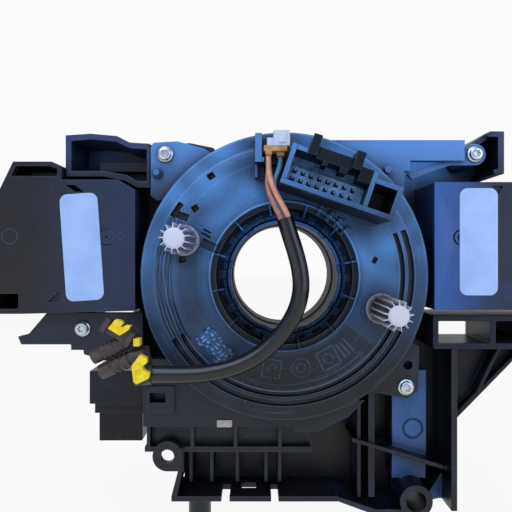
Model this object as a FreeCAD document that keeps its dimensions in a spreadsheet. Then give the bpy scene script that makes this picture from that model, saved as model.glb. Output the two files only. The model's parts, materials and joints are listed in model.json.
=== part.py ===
import FreeCAD, Part
import math
import os
import Sketcher

# Steering-column switch module with its clock spring, seen from the steering-wheel side.
# The origin is on the column axis, at the front face of the rotor disc.
# X runs to the right as the driver sees it, +Y runs forward along the column, Z is up.

V = FreeCAD.Vector

# Driving dimensions in millimetres, degrees for turns. Each one is a named cell of the sheet.
# "front" and "back" are places along Y: front faces the driver.
SHEET = {
    "rotor disc": dict(
        rotor_r=59.2,            # outer radius
        rotor_plate=3.0,         # thickness
        rim_band=5.9,            # from the rim in to the outer groove
        groove_wide=2.1,         # outer groove
        groove_land=1.8,         # ring between the grooves
        groove_in_wide=1.6,      # inner groove
        groove_depth=1.6,
        groove_start=-150.0,     # where the grooves begin, anticlockwise from +X
        groove_sweep=167.0,
        scuff_wide=6.9,          # shallow worn channel on the left
        scuff_depth=0.7,
        scuff_start=152.0,
        scuff_sweep=56.0,
        symbol_land=1.2,         # from the inner groove in to the sunk field at the bottom
        symbol_wide=14.1,
        symbol_depth=0.5,
        symbol_start=-112.0,
        symbol_sweep=74.0,
        peg_hole=2.2,            # square holes
        peg_one_x=-36.6, peg_one_z=27.8,
        peg_two_x=-30.1, peg_two_z=41.1,
        peg_turn=35.0,
        window_x=-45.2, window_z=26.2, window_wide=5.6, window_high=4.4, window_turn=52.0,
        slot_x=-31.0, slot_z=13.8, slot_long=7.4, slot_wide=3.2, slot_turn=-25.0,
        floor_window_x=-28.5, floor_window_z=-29.6, floor_window_wide=12.5,
        floor_window_high=7.5, floor_window_turn=-40.0,
    ),
    "plug seat on the disc": dict(
        seat_left=-12.1, seat_right=-0.1, seat_low=44.9, seat_high=56.2,
        seat_front=-10.5, seat_floor=-3.0, seat_wall=2.9, gate_left=-8.4, gate_right=-0.2,
        gate_floor=-4.4,
    ),
    "hub": dict(
        bore_r=22.0,             # shaft bore
        sleeve_wall=2.6,
        sleeve_front=0.0,
        sleeve_tail=2.5,         # how far the sleeve reaches behind the carrier plate
        hub_groove=3.7,          # width of the groove between the sleeve and the disc
        flange_thick=2.0,
        drum_room=3.8,           # between the sleeve and the drum
        drum_wall=1.6,
        drum_gap=2.5,            # behind the drum
        notch_count=9, notch_wide=3.0, notch_deep=1.5, notch_turn=20.0,
        key_count=12, key_wide=1.3, key_front=1.6, key_gap=0.1, key_turn=12.0, key_root=0.4, key_tail=0.5,
        code_band=3.4,           # slotted ring: width
        code_set=1.4,            # slotted ring: distance behind the rear cover
        code_thick=2.0, code_gap=2.5, code_count=24, code_slot=1.6, code_slot_deep=1.4, code_turn=1.0,
    ),
    "clock spring case": dict(
        case_under=3.2,          # how much smaller the case is than the disc
        case_wall=2.0, case_front=3.4, case_long=21.1,
        ear_front=5.0, ear_thick=3.0,
        cover_thick=2.5,         # rear cover, which lies on the carrier plate
        bearing_gap=0.05,        # radial play between sleeve and rear cover
        case_gap=0.3,            # round the case, inside the carrier
        arm_top=56.9, arm_low=48.2, arm_right=75.8, arm_front=4.2,
        arm_step_x=53.0, arm_step_z=43.8, arm_inner_x=50.5, arm_left=4.0, arm_left_z=50.0,
        arm_inner_z=18.0, arm_root_x=44.0, arm_root_z=22.0,
        ear_a_x=-38.0, ear_a_z=35.0, ear_b_x=-26.0, ear_b_z=49.0, ear_c_x=45.0, ear_c_z=-22.0,
        ear_d_x=34.0, ear_d_z=-40.0, ear_hole=1.9, ear_hole_in=0.9, ear_hole_up=9.2,
        lug_front=6.0, lug_r=4.6,
        strip_left=52.0, strip_low=40.6, strip_bend=70.4, strip_bend_low=46.6, strip_wide=2.4,
        tab_left=3.9, tab_right=14.0, tab_low=-65.2, tab_root_left=-14.0, tab_root_right=34.0,
        tab_root_z=-52.0, tab_bend=-8.0, tab_bend_z=-60.2, tab_top=-63.4, tab_slope=13.0, tab_slope_z=-59.0,
        pin_small=1.2, pin_large=2.4, pin_high=3.4, pin_left=3.2, pin_under=8.1,
        stop_peg_x=43.0, stop_peg_z=44.1, stop_peg_r=1.5, stop_peg_high=2.4,
        ribbon_gap=3.0, ribbon_pitch=3.2, ribbon_thick=0.5, ribbon_halves=9,
        ribbon_set=3.0, ribbon_wide=13.5, anchor_high=3.0,
    ),
    "screws": dict(
        screw_ul_x=-49.8, screw_ul_z=51.0,
        screw_lr_x=51.3, screw_lr_z=-46.7,
        screw_ur_x=80.7, screw_ur_z=51.2,
        screw_ll_x=-86.3, screw_ll_z=-22.8,
        head_r=3.4, head_high=2.4, head_step=1.1, head_draft=0.5, washer=0.8,
        shank_r=1.75, shank_long=14.0, shank_tip=2.0,
        drive_r=1.3, drive_deep=1.3, boss_r=4.4,
    ),
    "drive pins": dict(
        pin_left_x=-41.1, pin_left_z=14.7,
        pin_right_x=39.4, pin_right_z=-13.2,
        pin_core_r=4.0, pin_tooth_r=5.7, pin_flange_r=6.3, pin_flange=1.6, pin_long=27.0,
        pin_tooth_wide=0.95, pin_tooth_count=13, pin_tip=3.2, pin_dome=0.8, pin_tooth_set=1.2, pin_root=0.5,
    ),
    "wheel connector": dict(
        header_x=-3.0, header_z=35.5, header_turn=-19.1,
        header_long=43.9, header_high=15.4, header_end_high=13.0, header_front=-21.0,
        header_wall=1.9, header_floor=-5.0, header_split=31.6, header_split_wall=1.8,
        insert_high=7.2, insert_front=-12.5,
        terminal_count=8, terminal_pitch=3.35, terminal_first=3.8, terminal_row=3.2, terminal_low=2.1,
        terminal_wide=0.7, terminal_pocket=1.7, terminal_front=-15.0, terminal_back=-6.0,
        block_left=1.0, block_right=11.5, block_high=3.4, block_front=-13.0,
        horn_left=12.4, horn_wide=2.6, horn_high=5.4, horn_front=-19.0,
        rib_left=26.2, rib_wide=2.2, rib_high=3.4,
        gap_one_left=14.0, gap_one_right=25.6, gap_deep=8.0,
        base_left=30.0, base_high=3.0, base_front=-3.0,
    ),
    "airbag lead": dict(
        plug_left=-8.7, plug_right=1.1, plug_low=49.0, plug_high=57.6, plug_front=-11.4,
        plug_clear=0.3,
        plug_collar=1.6,         # height of the amber wire collar below the plug
        collar_left=1.0, collar_right=0.6, collar_front=0.8, collar_rear=1.5,
        pink_r=1.1, blue_r=1.0, sheath_r=3.3, mouth_r=2.75, mouth_deep=6.0,
        relief_r=3.9, relief_x=-56.0,
    ),
    "squib plugs": dict(
        upper_x=-63.6, upper_z=-20.2, upper_turn=-32.0,
        lower_x=-55.6, lower_z=-33.6, lower_turn=-78.0,
        head_long=12.6, head_wide=5.6, head_front=-18.0, head_back=-6.5,
        barrel_r=2.85, barrel_turn=25.0, barrel_y=-12.0,
        upper_barrel_x=-61.4, upper_barrel_z=-24.6, upper_barrel_long=14.5,
        lower_barrel_x=-57.4, lower_barrel_z=-30.0, lower_barrel_long=15.5,
        barrel_ring=0.35, barrel_ring_wide=0.9, barrel_rings=4, barrel_first=0.2, barrel_pitch=0.14,
        lock_long=7.8, lock_wide=6.4, lock_thick=2.6, lock_tongue=1.7, lock_notch=2.0, lock_hole_r=0.7,
        lock_clear=0.15, lock_lift=0.05,
    ),
    "carrier plate": dict(
        plate_thick=3.0, carrier_wall=2.4,
        wing_low=4.0, left_edge=-66.0, web_low=-40.0, inner_left=-45.0,
        right_edge=73.0, wing_top=38.0, low_edge=-96.4, corner_x=38.7, corner_z=-102.1,
        wing_left_x=-119.0, wing_left_top=34.0, wing_right_x=112.0, wing_step=66.0,
        slope_x=104.0, slope_low=33.0, top_right=30.0, top_right_z=54.0, top_mid_z=52.0, top_left=-30.0,
        top_left_z=53.0, top_bend=-40.0, top_bend_z=56.6, top_under=51.4, top_inner=-26.0, top_inner_z=50.0,
        top_start=53.4, top_crown=54.6, top_front=8.2, wing_bend=-95.0, wing_bend_z=40.0,
        collar_wall=2.5, collar_long=22.0, collar_gap=1.9, collar_seat=3.0, collar_round=1.0,
    ),
    "upper left pocket": dict(
        pocket_left=-91.8, pocket_front=5.0, pocket_right=-56.3,
        pocket_low=41.6, pocket_crown_x=-81.0, pocket_crown_z=59.8, pocket_top=59.1,
        pocket_dip_x=-64.8, pocket_dip_z=56.1, pocket_end_z=55.6, pocket_wall=2.5,
        pocket_bend_x=-76.0, pocket_foot_x=-61.8, pocket_foot_z=37.0, pocket_slope_x=-66.6,
        pocket_slope_z=39.6,
        pocket_ridge_x=-70.1, pocket_ridge_z=58.8, pocket_end_wall=1.4, pocket_skew=0.4,
        shelf_left=-82.0, shelf_high=50.6, shelf_low=46.0, shelf_front=19.0,
    ),
    "upper right hook": dict(
        hook_left=86.6, hook_right=92.7, hook_top=60.8, hook_low=42.8, hook_lip=89.2, hook_front=5.0,
        hook_lip_out=0.8, hook_lip_in=1.0, hook_lip_rise=2.0,
        brace_x=77.8, brace_z=54.9, brace_front=8.6, brace_thick=2.0, brace_in=1.2,
    ),
    "lower left arm": dict(
        arm_plate_front=10.0, arm_plate=3.0, arm_tip_x=-114.3, arm_tip_z=-26.4, arm_tip_low=-29.8,
        arm_top_z=-16.1, arm_top_left=-101.8, arm_knee_x=-109.7, arm_knee_z=-25.3,
        arm_step_one_x=-91.4, arm_step_low=-32.2, arm_step_two_x=-86.0, arm_end_low=-34.0, arm_tip_round=1.4,
    ),
    "lower plate and ribs": dict(
        low_front=10.0, low_thick=3.0, low_left=-60.3, low_right=12.0, low_top=-36.0, low_bottom=-65.2,
        latch_left=-58.7, latch_right=-46.6, latch_top=-47.5, latch_low=-59.0, latch_proud=1.2,
        latch_window_left=-57.3, latch_window_right=-50.4, latch_window_top=-50.2, latch_window_low=-54.5,
        web_right_top=-56.5, row_floor=14.0, row_thick=2.0, row_left=-59.6, row_low=-73.8, ledge_low=-76.0,
        rib_wall=1.5,
        rib_a=-58.0, rib_b=-39.1, rib_c=-20.5, rib_d=-1.4,
        fin_a=-40.4, fin_b=-31.2, fin_c=-19.9, fin_d=-7.3, fin_e=-1.3, fin_front=15.0, fin_low=-91.0,
        lip_front=8.0, lip_top=-94.2, lip_left=-47.8, lip_right=23.1, lip_side_x=-44.9, lip_side_z=-83.0,
        cut_one_left=-26.5, cut_one_right=-23.0, cut_two_left=-5.2, cut_two_right=-2.1, cut_back=19.0,
        lip_side_wall=1.8, lip_slope_in=0.6,
        lip_hole_left=-18.0, lip_hole_right=-11.7, lip_hole_front=16.0, lip_hole_back=21.0,
        ear_hole_x=-49.7, ear_hole_z=-77.6, ear_hole_r=2.9, ear_round_r=6.4, ear_plate_front=9.0,
    ),
    "right channel": dict(
        post_a_left=32.2, post_a_right=33.9, post_b_left=37.0, post_b_right=40.0, post_top=-44.0,
        post_front=12.0, slant_left_x=29.6, slant_left_z=-69.9, slant_right_z=-82.9, slant_front=10.0,
        pad_left=48.4, pad_right=63.6, pad_top=-42.0, pad_low=-90.0, pad_front=16.0,
        slant_thick=1.8, pad_ring_r=4.4, pad_ring_wall=0.6, pad_ring_x=57.6, pad_ring_z=-67.8,
        pad_ring_high=0.5, foot_left=61.1, foot_low=-101.0, foot_bend=4.0, foot_rise=12.0, foot_thick=6.0,
        side_wall=2.6, side_low=-99.0, side_front=5.0,
        ring_x=56.1, ring_z=-95.6, ring_r=7.0, ring_hole_r=4.2, ring_front=6.0,
    ),
    "right holder frame": dict(
        frame_left=62.7, frame_mid=89.2, frame_right=110.0, frame_top=-16.7, frame_low=-30.8,
        frame_wall=2.4, frame_front=5.0,
        gusset_front=15.0, gusset_thick=2.4, gusset_x=101.1, gusset_z=-35.4, gusset_low_x=74.2,
        gusset_low_z=-62.9, gusset_rib_x=82.5, gusset_rib_z=-50.2, gusset_rib_top_x=92.4, gusset_rib_wall=1.6,
        gusset_edge=2.0, gusset_edge_deep=4.0, gusset_edge_wall=3.4, gusset_rib_deep=6.0, gusset_end=5.0,
        frame_round=1.0,
    ),
    "lower post": dict(
        post_x=-39.0, post_set=8.0, post_r=5.4, post_long=40.0, post_high=-84.0,
        post_wall=3.0, post_roof=6.0, post_sleeve=9.0, post_bridge_in=1.0,
    ),
    "switch boxes": dict(
        box_front=2.0, box_cover=2.0, box_wall=2.0,
        left_room=2.5,           # from the disc's rim to the left box
        right_room=3.0,          # from the disc's rim to the right box
        left_outer=-122.0, left_top=40.0, left_low=-14.4, left_low_out=-15.7, left_low_bend=-108.8,
        left_shoulder_x=-68.9, left_shoulder_z=35.8, left_tower_in=-92.2, left_tower_x=-96.4,
        left_tower_top=47.5, left_tower_side=45.6, left_tower_out=-112.4, left_slope_z=27.6,
        tower_depth=17.0, tower_floor=1.5, tower_in=1.2, tower_edge=0.6, tower_skew=0.4, tower_out=1.3,
        left_cavity_in=3.6, left_cavity_skew=1.1,
        corner_right=-110.2, corner_low=-13.6, corner_high=-7.4,
        slot_left=-90.6, slot_right=-87.2, slot_top=37.8, slot_skew=4.0, slot_low=35.0,
        triangle_left=-98.0, triangle_right=-93.2, triangle_low=-10.6, triangle_top=-6.6, triangle_deep=1.0,
        mark_left=86.4, mark_right=90.8, mark_tip=88.8, mark_top=37.2, mark_low=34.0,
        right_outer=118.0, right_top=39.0, right_low=-14.0,
        label_wide=15.8, label_high=44.4, label_round=3.3, label_thick=0.25,
        left_label_x=-83.8, left_label_z=12.0, left_label_turn=3.9,
        right_label_x=80.5, right_label_z=14.2,
        boss_ring_r=3.3, boss_ring_wide=0.5, boss_ring_deep=0.3,
        board_thick=1.6, board_top=2.0, board_low=-11.5, board_end=6.0,
        shroud_in=9.0, shroud_long=26.0, shroud_top=1.0, shroud_low=-11.0, shroud_wall=1.5, shroud_out=11.0,
        switch_pin_count=8, switch_pin_pitch=2.6, switch_pin=0.7, switch_pin_z=-5.0, switch_pin_out=6.5,
    ),
    "stalks": dict(
        pivot_left_in=12.2, pivot_right_in=11.2, pivot_z=16.0, pivot_y=15.0,
        journal_r=1.5, journal_gap=0.05, journal_in=1.4, journal_end=0.2, journal_step=0.6,
        yoke_half_x=5.5, yoke_half_z=6.5, yoke_wall=1.5, yoke_gap=1.0,
        hub_half=4.7, hub_r=4.2, neck_r=4.4, tail_r=2.7, tail_end=6.4, axle_end=0.1,
        plunger_r=1.25, plunger_tip=8.35, plunger_back=3.6, plunger_gap=0.05,
        track_r=8.8, track_half=4.5, track_front=11.0, track_back=19.0, track_over=1.2,
        spring_wire=0.3, spring_r=0.85, spring_turns=4.0, spring_start=0.9,
        mouth_half_z=12.2, mouth_gap=0.5,
        neck_out=5.0,            # how far the neck stands out of the left box
        core_r=3.2, core_short=7.0,
        grip_root_r=6.0, grip_swell=15.0, grip_swell_r=9.2, grip_mid=8.0, grip_mid_r=9.8,
        grip_tip=35.0, grip_tip_r=8.4, grip_round=2.0,
        button_r=5.0, button_gap=0.05, button_proud=1.5, button_in=4.0, button_stop=6.0,
        button_spring_r=3.0, button_spring_wire=0.4, button_spring_turns=2.5,
        dial_set=8.0, dial_long=10.0, dial_gap=0.3, dial_r=10.2, dial_play=0.05, dial_rib=0.5,
        dial_rib_count=18, dial_rib_wide=1.0, dial_rib_in=0.6, dial_rib_root=1.0, dial_rib_turn=0.5,
    ),
    "control module": dict(
        module_left=-84.6, module_right=-47.0, module_top=-42.0, module_step=-56.5, module_gap=0.5,
        module_two_left=-82.6, module_two_low=-60.8, module_three_left=-81.1, module_three_low=-73.5,
        module_three_right=-62.0, module_deep=20.5, module_wall=1.8, module_lid=2.0,
        module_two_set=1.0, module_three_set=2.5, module_board_in=6.0, module_pin_count=6,
        module_pin_pitch=3.2, module_pin=0.8, module_pin_out=4.0,
        module_socket=8.0, module_socket_half=5.0,
    ),
    "angle sensor": dict(
        sensor_gap=2.4, sensor_thick=1.4, sensor_chip=0.7, sensor_long=5.0, sensor_chip_in=0.2,
        sensor_chip_wide=1.2,
    ),
}


class Size:
    """A number together with the formula over the sheet that gives it."""

    def __init__(self, number, formula=None):
        self.number = float(number)
        self.formula = formula or "(%s)" % round(float(number), 6)

    def joined(self, sign, other, number):
        return Size(number, "(%s %s %s)" % (self.formula, sign, other.formula))

    def __add__(self, other):
        other = as_size(other)
        return self.joined("+", other, self.number + other.number)

    def __sub__(self, other):
        other = as_size(other)
        return self.joined("-", other, self.number - other.number)

    def __mul__(self, other):
        other = as_size(other)
        return self.joined("*", other, self.number * other.number)

    def __truediv__(self, other):
        other = as_size(other)
        return self.joined("/", other, self.number / other.number)

    def __radd__(self, other):
        return as_size(other) + self

    def __rsub__(self, other):
        return as_size(other) - self

    def __rmul__(self, other):
        return as_size(other) * self

    def __rtruediv__(self, other):
        return as_size(other) / self

    def __neg__(self):
        return Size(0) - self

    def __float__(self):
        return self.number


def as_size(value):
    return value if isinstance(value, Size) else Size(value)


def count(size):
    """A whole number from the sheet."""
    return int(round(float(size)))


class Dimensions:
    """Gives each cell of the sheet by its alias."""


doc = FreeCAD.newDocument("column_switch")
sheet = doc.addObject("Spreadsheet::Sheet", "Dims")
d = Dimensions()
row = 1
for group, cells in SHEET.items():
    sheet.set("A%d" % row, group)
    row += 1
    for alias, number in cells.items():
        sheet.set("A%d" % row, alias)
        sheet.set("B%d" % row, str(number))
        sheet.setAlias("B%d" % row, alias)
        setattr(d, alias, Size(number, "Dims." + alias))
        row += 1
doc.recompute()

# Sizes that follow from others.
d.disc_groove_out = d.rotor_r - d.rim_band
d.disc_groove_mid = d.disc_groove_out - d.groove_wide
d.disc_groove_ring = d.disc_groove_mid - d.groove_land
d.disc_groove_in = d.disc_groove_ring - d.groove_in_wide
d.symbol_out_r = d.disc_groove_in - d.symbol_land
d.symbol_in_r = d.symbol_out_r - d.symbol_wide
d.sleeve_r = d.bore_r + d.sleeve_wall
d.disc_hole_r = d.sleeve_r + d.hub_groove
d.flange_back = d.rotor_plate + d.flange_thick
d.drum_in_r = d.sleeve_r + d.drum_room
d.drum_r = d.drum_in_r + d.drum_wall
d.ribbon_in_r = d.drum_r + d.ribbon_gap
d.ribbon_front = d.flange_back + d.ribbon_set
d.case_r = d.rotor_r - d.case_under
d.case_back = d.case_front + d.case_long
d.drum_back = d.case_back - d.drum_gap
d.cover_back = d.case_back + d.cover_thick       # also the front face of the carrier plate
d.plate_back = d.cover_back + d.plate_thick
d.ear_back = d.ear_front + d.ear_thick
d.sleeve_back = d.plate_back + d.sleeve_tail
d.code_r = d.sleeve_r + d.code_band
d.code_front = d.cover_back + d.code_set
d.code_back = d.code_front + d.code_thick
d.collar_entry_r = d.code_r + d.code_gap
d.collar_r = d.collar_entry_r + d.collar_wall
d.collar_bore_r = d.sleeve_r + d.collar_gap
d.collar_step = d.plate_back + d.collar_seat
d.collar_back = d.plate_back + d.collar_long
d.sensor_in_r = d.sleeve_r + d.sensor_gap
d.post_y = d.plate_back + d.post_set
d.post_low = d.post_high - d.post_long
d.box_back = d.cover_back
d.left_inner = 0 - d.rotor_r - d.left_room
d.right_inner = d.rotor_r + d.right_room
d.shroud_back = d.box_back + d.shroud_out
d.pivot_left_x = d.left_inner - d.pivot_left_in
d.pivot_right_x = d.right_inner + d.pivot_right_in
d.yoke_front = d.box_front + d.box_cover + d.yoke_gap
d.yoke_back = d.box_back - d.box_wall - d.yoke_gap
d.neck_end = d.neck_out - d.left_outer
d.grip_swell_x = d.neck_end + d.grip_swell
d.dial_in = d.grip_swell_x + d.dial_set
d.dial_out = d.dial_in + d.dial_long
d.grip_mid_x = d.dial_out + d.grip_mid
d.grip_end = d.grip_mid_x + d.grip_tip
d.core_end = d.grip_end - d.core_short
d.module_front = d.low_front + d.low_thick + d.module_gap
d.module_back = d.module_front + d.module_deep
d.module_board_y = d.module_back - d.module_board_in
OVER = 1.0          # how far a cutting tool reaches past what it cuts

NODES = []          # the finished pieces, in order


def bind(thing, **properties):
    """Ties properties of an object to formulas over the sheet."""
    for name, size in properties.items():
        thing.setExpression(name, as_size(size).formula)


def put(thing, x=None, y=None, z=None):
    """Ties the place of an object to formulas over the sheet."""
    for letter, size in (("x", x), ("y", y), ("z", z)):
        if size is not None:
            thing.setExpression("Placement.Base." + letter, as_size(size).formula)
    return thing


def turn(thing, angle, about=V(0, -1, 0)):
    """Turns an object about the origin, anticlockwise as seen from the front."""
    thing.Placement = FreeCAD.Placement(thing.Placement.Base, FreeCAD.Rotation(about, 10))
    thing.setExpression("Placement.Rotation.Angle", as_size(angle).formula)
    return thing


def block(name, x, y, z):
    """A box between two values on each axis."""
    box = doc.addObject("Part::Box", name)
    bind(box, Length=x[1] - as_size(x[0]), Width=y[1] - as_size(y[0]), Height=z[1] - as_size(z[0]))
    return put(box, x[0], y[0], z[0])


AIMS = {"X": FreeCAD.Rotation(V(0, 1, 0), 90), "Y": FreeCAD.Rotation(V(1, 0, 0), -90),
        "Z": FreeCAD.Rotation()}


def rod(name, radius, start, end, x=0, y=0, z=0, along="Y"):
    """A cylinder along one axis, from start to end on that axis."""
    solid = doc.addObject("Part::Cylinder", name)
    solid.Placement = FreeCAD.Placement(V(), AIMS[along])
    bind(solid, Radius=radius, Height=end - as_size(start))
    place = {"X": (start, y, z), "Y": (x, start, z), "Z": (x, y, start)}[along]
    return put(solid, *place)


def cone(name, radius_start, radius_end, start, end, x=0, y=0, z=0, along="Y"):
    """A cone along one axis, from start to end on that axis."""
    solid = doc.addObject("Part::Cone", name)
    solid.Placement = FreeCAD.Placement(V(), AIMS[along])
    bind(solid, Radius1=radius_start, Radius2=radius_end, Height=end - as_size(start))
    place = {"X": (start, y, z), "Y": (x, start, z), "Z": (x, y, start)}[along]
    return put(solid, *place)


def fuse(name, pieces):
    joined = doc.addObject("Part::MultiFuse", name)
    joined.Shapes = list(pieces)
    return joined


def cut(name, base, tools):
    """The base without the tools."""
    tools = list(tools)
    tool = tools[0] if len(tools) == 1 else fuse(name + "_tools", tools)
    result = doc.addObject("Part::Cut", name)
    result.Base = base
    result.Tool = tool
    return result


def tube(name, outer, inner, start, end, x=0, y=0, z=0, along="Y"):
    """A hollow cylinder along one axis."""
    body = rod(name + "_outside", outer, start, end, x, y, z, along)
    hollow = rod(name + "_inside", inner, start, end, x, y, z, along)
    return cut(name, body, [hollow])


def sector(name, inner, outer, front, back, start, sweep):
    """A part of a ring about the column axis, from an angle, anticlockwise as seen from the front."""
    wedge = doc.addObject("Part::Cylinder", name + "_wedge")
    wedge.Placement = FreeCAD.Placement(V(), FreeCAD.Rotation(V(1, 0, 0), 90))
    bind(wedge, Radius=outer, Height=back - as_size(front), Angle=sweep)
    put(wedge, y=back)
    ring = cut(name, wedge, [rod(name + "_core", inner, front, back)])
    return turn(ring, start)


def flat_point(x, z):
    return V(float(x), float(z), 0)


def loop_sketch(sketch, loops):
    """Draws closed loops, each a list of (x, z) or (x, z, corner radius), or one circle (x, z, radius)."""
    shapes, rules, formulas = [], [], []

    def fix(kind, geometry, point, size):
        formulas.append((len(rules), as_size(size).formula))
        rules.append(Sketcher.Constraint(kind, geometry, point, float(size)))

    for loop in loops:
        if isinstance(loop, tuple):
            x, z, radius = loop
            index = len(shapes)
            shapes.append(Part.Circle(flat_point(x, z), V(0, 0, 1), float(radius)))
            fix("DistanceX", index, 3, x)
            fix("DistanceY", index, 3, z)
            formulas.append((len(rules), as_size(radius).formula))
            rules.append(Sketcher.Constraint("Radius", index, float(radius)))
            continue
        ends = [corner_ends(loop, i) for i in range(len(loop))]
        first = len(shapes)
        joints = []
        for i, corner in enumerate(ends):
            following = ends[(i + 1) % len(ends)]
            if corner["radius"] is not None:
                joints.append(("arc", len(shapes), corner))
                shapes.append(corner["arc"])
            joints.append(("line", len(shapes), corner))
            start, end = corner["leave"], following["reach"]
            shapes.append(Part.LineSegment(flat_point(*start), flat_point(*end)))
            fix("DistanceX", len(shapes) - 1, 1, start[0])
            fix("DistanceY", len(shapes) - 1, 1, start[1])
            if following["radius"] is not None:
                fix("DistanceX", len(shapes) - 1, 2, end[0])
                fix("DistanceY", len(shapes) - 1, 2, end[1])
        for n, (kind, index, corner) in enumerate(joints):
            next_kind, next_index, next_corner = joints[(n + 1) % len(joints)]
            if kind == "line":
                meets = next_corner["arc_in"] if next_kind == "arc" else 1
                rules.append(Sketcher.Constraint("Coincident", index, 2, next_index, meets))
            else:
                rules.append(Sketcher.Constraint("Coincident", index, 3 - corner["arc_in"], next_index, 1))
                formulas.append((len(rules), as_size(corner["radius"]).formula))
                rules.append(Sketcher.Constraint("Radius", index, float(corner["radius"])))
    sketch.addGeometry(shapes, False)
    sketch.addConstraint(rules)
    for index, formula in formulas:
        sketch.setExpression("Constraints[%d]" % index, formula)
    return sketch


def corner_ends(loop, i):
    """Where the outline reaches and leaves a corner. Only square corners along the axes are rounded."""
    here = loop[i]
    x, z = as_size(here[0]), as_size(here[1])
    if len(here) < 3:
        return dict(reach=(x, z), leave=(x, z), radius=None)
    radius = as_size(here[2])
    before, after = loop[i - 1], loop[(i + 1) % len(loop)]

    def step(other):
        dx, dz = float(other[0]) - float(x), float(other[1]) - float(z)
        return (math.copysign(1, dx), 0) if abs(dx) > abs(dz) else (0, math.copysign(1, dz))

    back, ahead = step(before), step(after)
    reach = (x + radius * back[0], z + radius * back[1])
    leave = (x + radius * ahead[0], z + radius * ahead[1])
    middle = [float(v) + float(radius) * (back[k] + ahead[k]) for k, v in enumerate((x, z))]
    left_turn = (-back[0]) * ahead[1] - (-back[1]) * ahead[0] > 0
    first, last = (reach, leave) if left_turn else (leave, reach)
    start = math.atan2(float(first[1]) - middle[1], float(first[0]) - middle[0])
    end = math.atan2(float(last[1]) - middle[1], float(last[0]) - middle[0])
    circle = Part.Circle(V(middle[0], middle[1], 0), V(0, 0, 1), float(radius))
    arc = Part.ArcOfCircle(circle, start, end if end > start else end + 2 * math.pi)
    return dict(reach=reach, leave=leave, radius=radius, arc=arc, arc_in=1 if left_turn else 2)


def prism(name, loops, front, back):
    """An outline in X and Z with its holes, carried along Y from front to back."""
    sketch = doc.addObject("Sketcher::SketchObject", name + "_outline")
    sketch.Placement = FreeCAD.Placement(V(0, float(front), 0), FreeCAD.Rotation(V(1, 0, 0), 90))
    loop_sketch(sketch, loops)
    put(sketch, y=front)
    solid = doc.addObject("Part::Extrusion", name)
    solid.Base = sketch
    solid.DirMode = "Custom"
    solid.Dir = V(0, 1, 0)
    solid.Solid = True
    solid.FaceMakerClass = "Part::FaceMakerBullseye"
    bind(solid, LengthFwd=back - as_size(front))
    return solid


def turned(name, outline, axis):
    """An outline turned about an axis: (radius, y) about Y, or (x, radius) about X."""
    sketch = doc.addObject("Sketcher::SketchObject", name + "_outline")
    loop_sketch(sketch, [outline])
    solid = doc.addObject("Part::Revolution", name)
    solid.Source = sketch
    solid.Axis = V(0, 1, 0) if axis == "Y" else V(1, 0, 0)
    solid.Base = V(0, 0, 0)
    solid.Angle = 360
    solid.Solid = True
    return solid


def feature(name, shape):
    """A shape made with Part's own functions, where no bound feature fits."""
    thing = doc.addObject("Part::Feature", name)
    thing.Shape = shape
    return thing


def node(label, thing):
    """Marks a finished piece and gives it its name."""
    thing.Label = label
    NODES.append(thing)
    return thing


def rectangle(left, right, low, high, *radius):
    return [(left, low, *radius), (right, low, *radius), (right, high, *radius), (left, high, *radius)]


def held(name, *things):
    """Holds objects together so that they can be turned and moved as one."""
    holder = doc.addObject("Part::Compound", name)
    holder.Links = list(things)
    return holder


def slanted(name, x, z, wide, high, angle, front, back):
    """A box turned about the axis of sight, with its middle at x and z."""
    wide, high = as_size(wide), as_size(high)
    box = block(name + "_box", (wide / -2, wide / 2), (front, back), (high / -2, high / 2))
    return put(turn(held(name, box), angle), x, 0, z)


def header_place(thing):
    """Moves something drawn at the origin to the header's corner."""
    return put(turn(thing, d.header_turn), d.header_x, 0, d.header_z)


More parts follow.
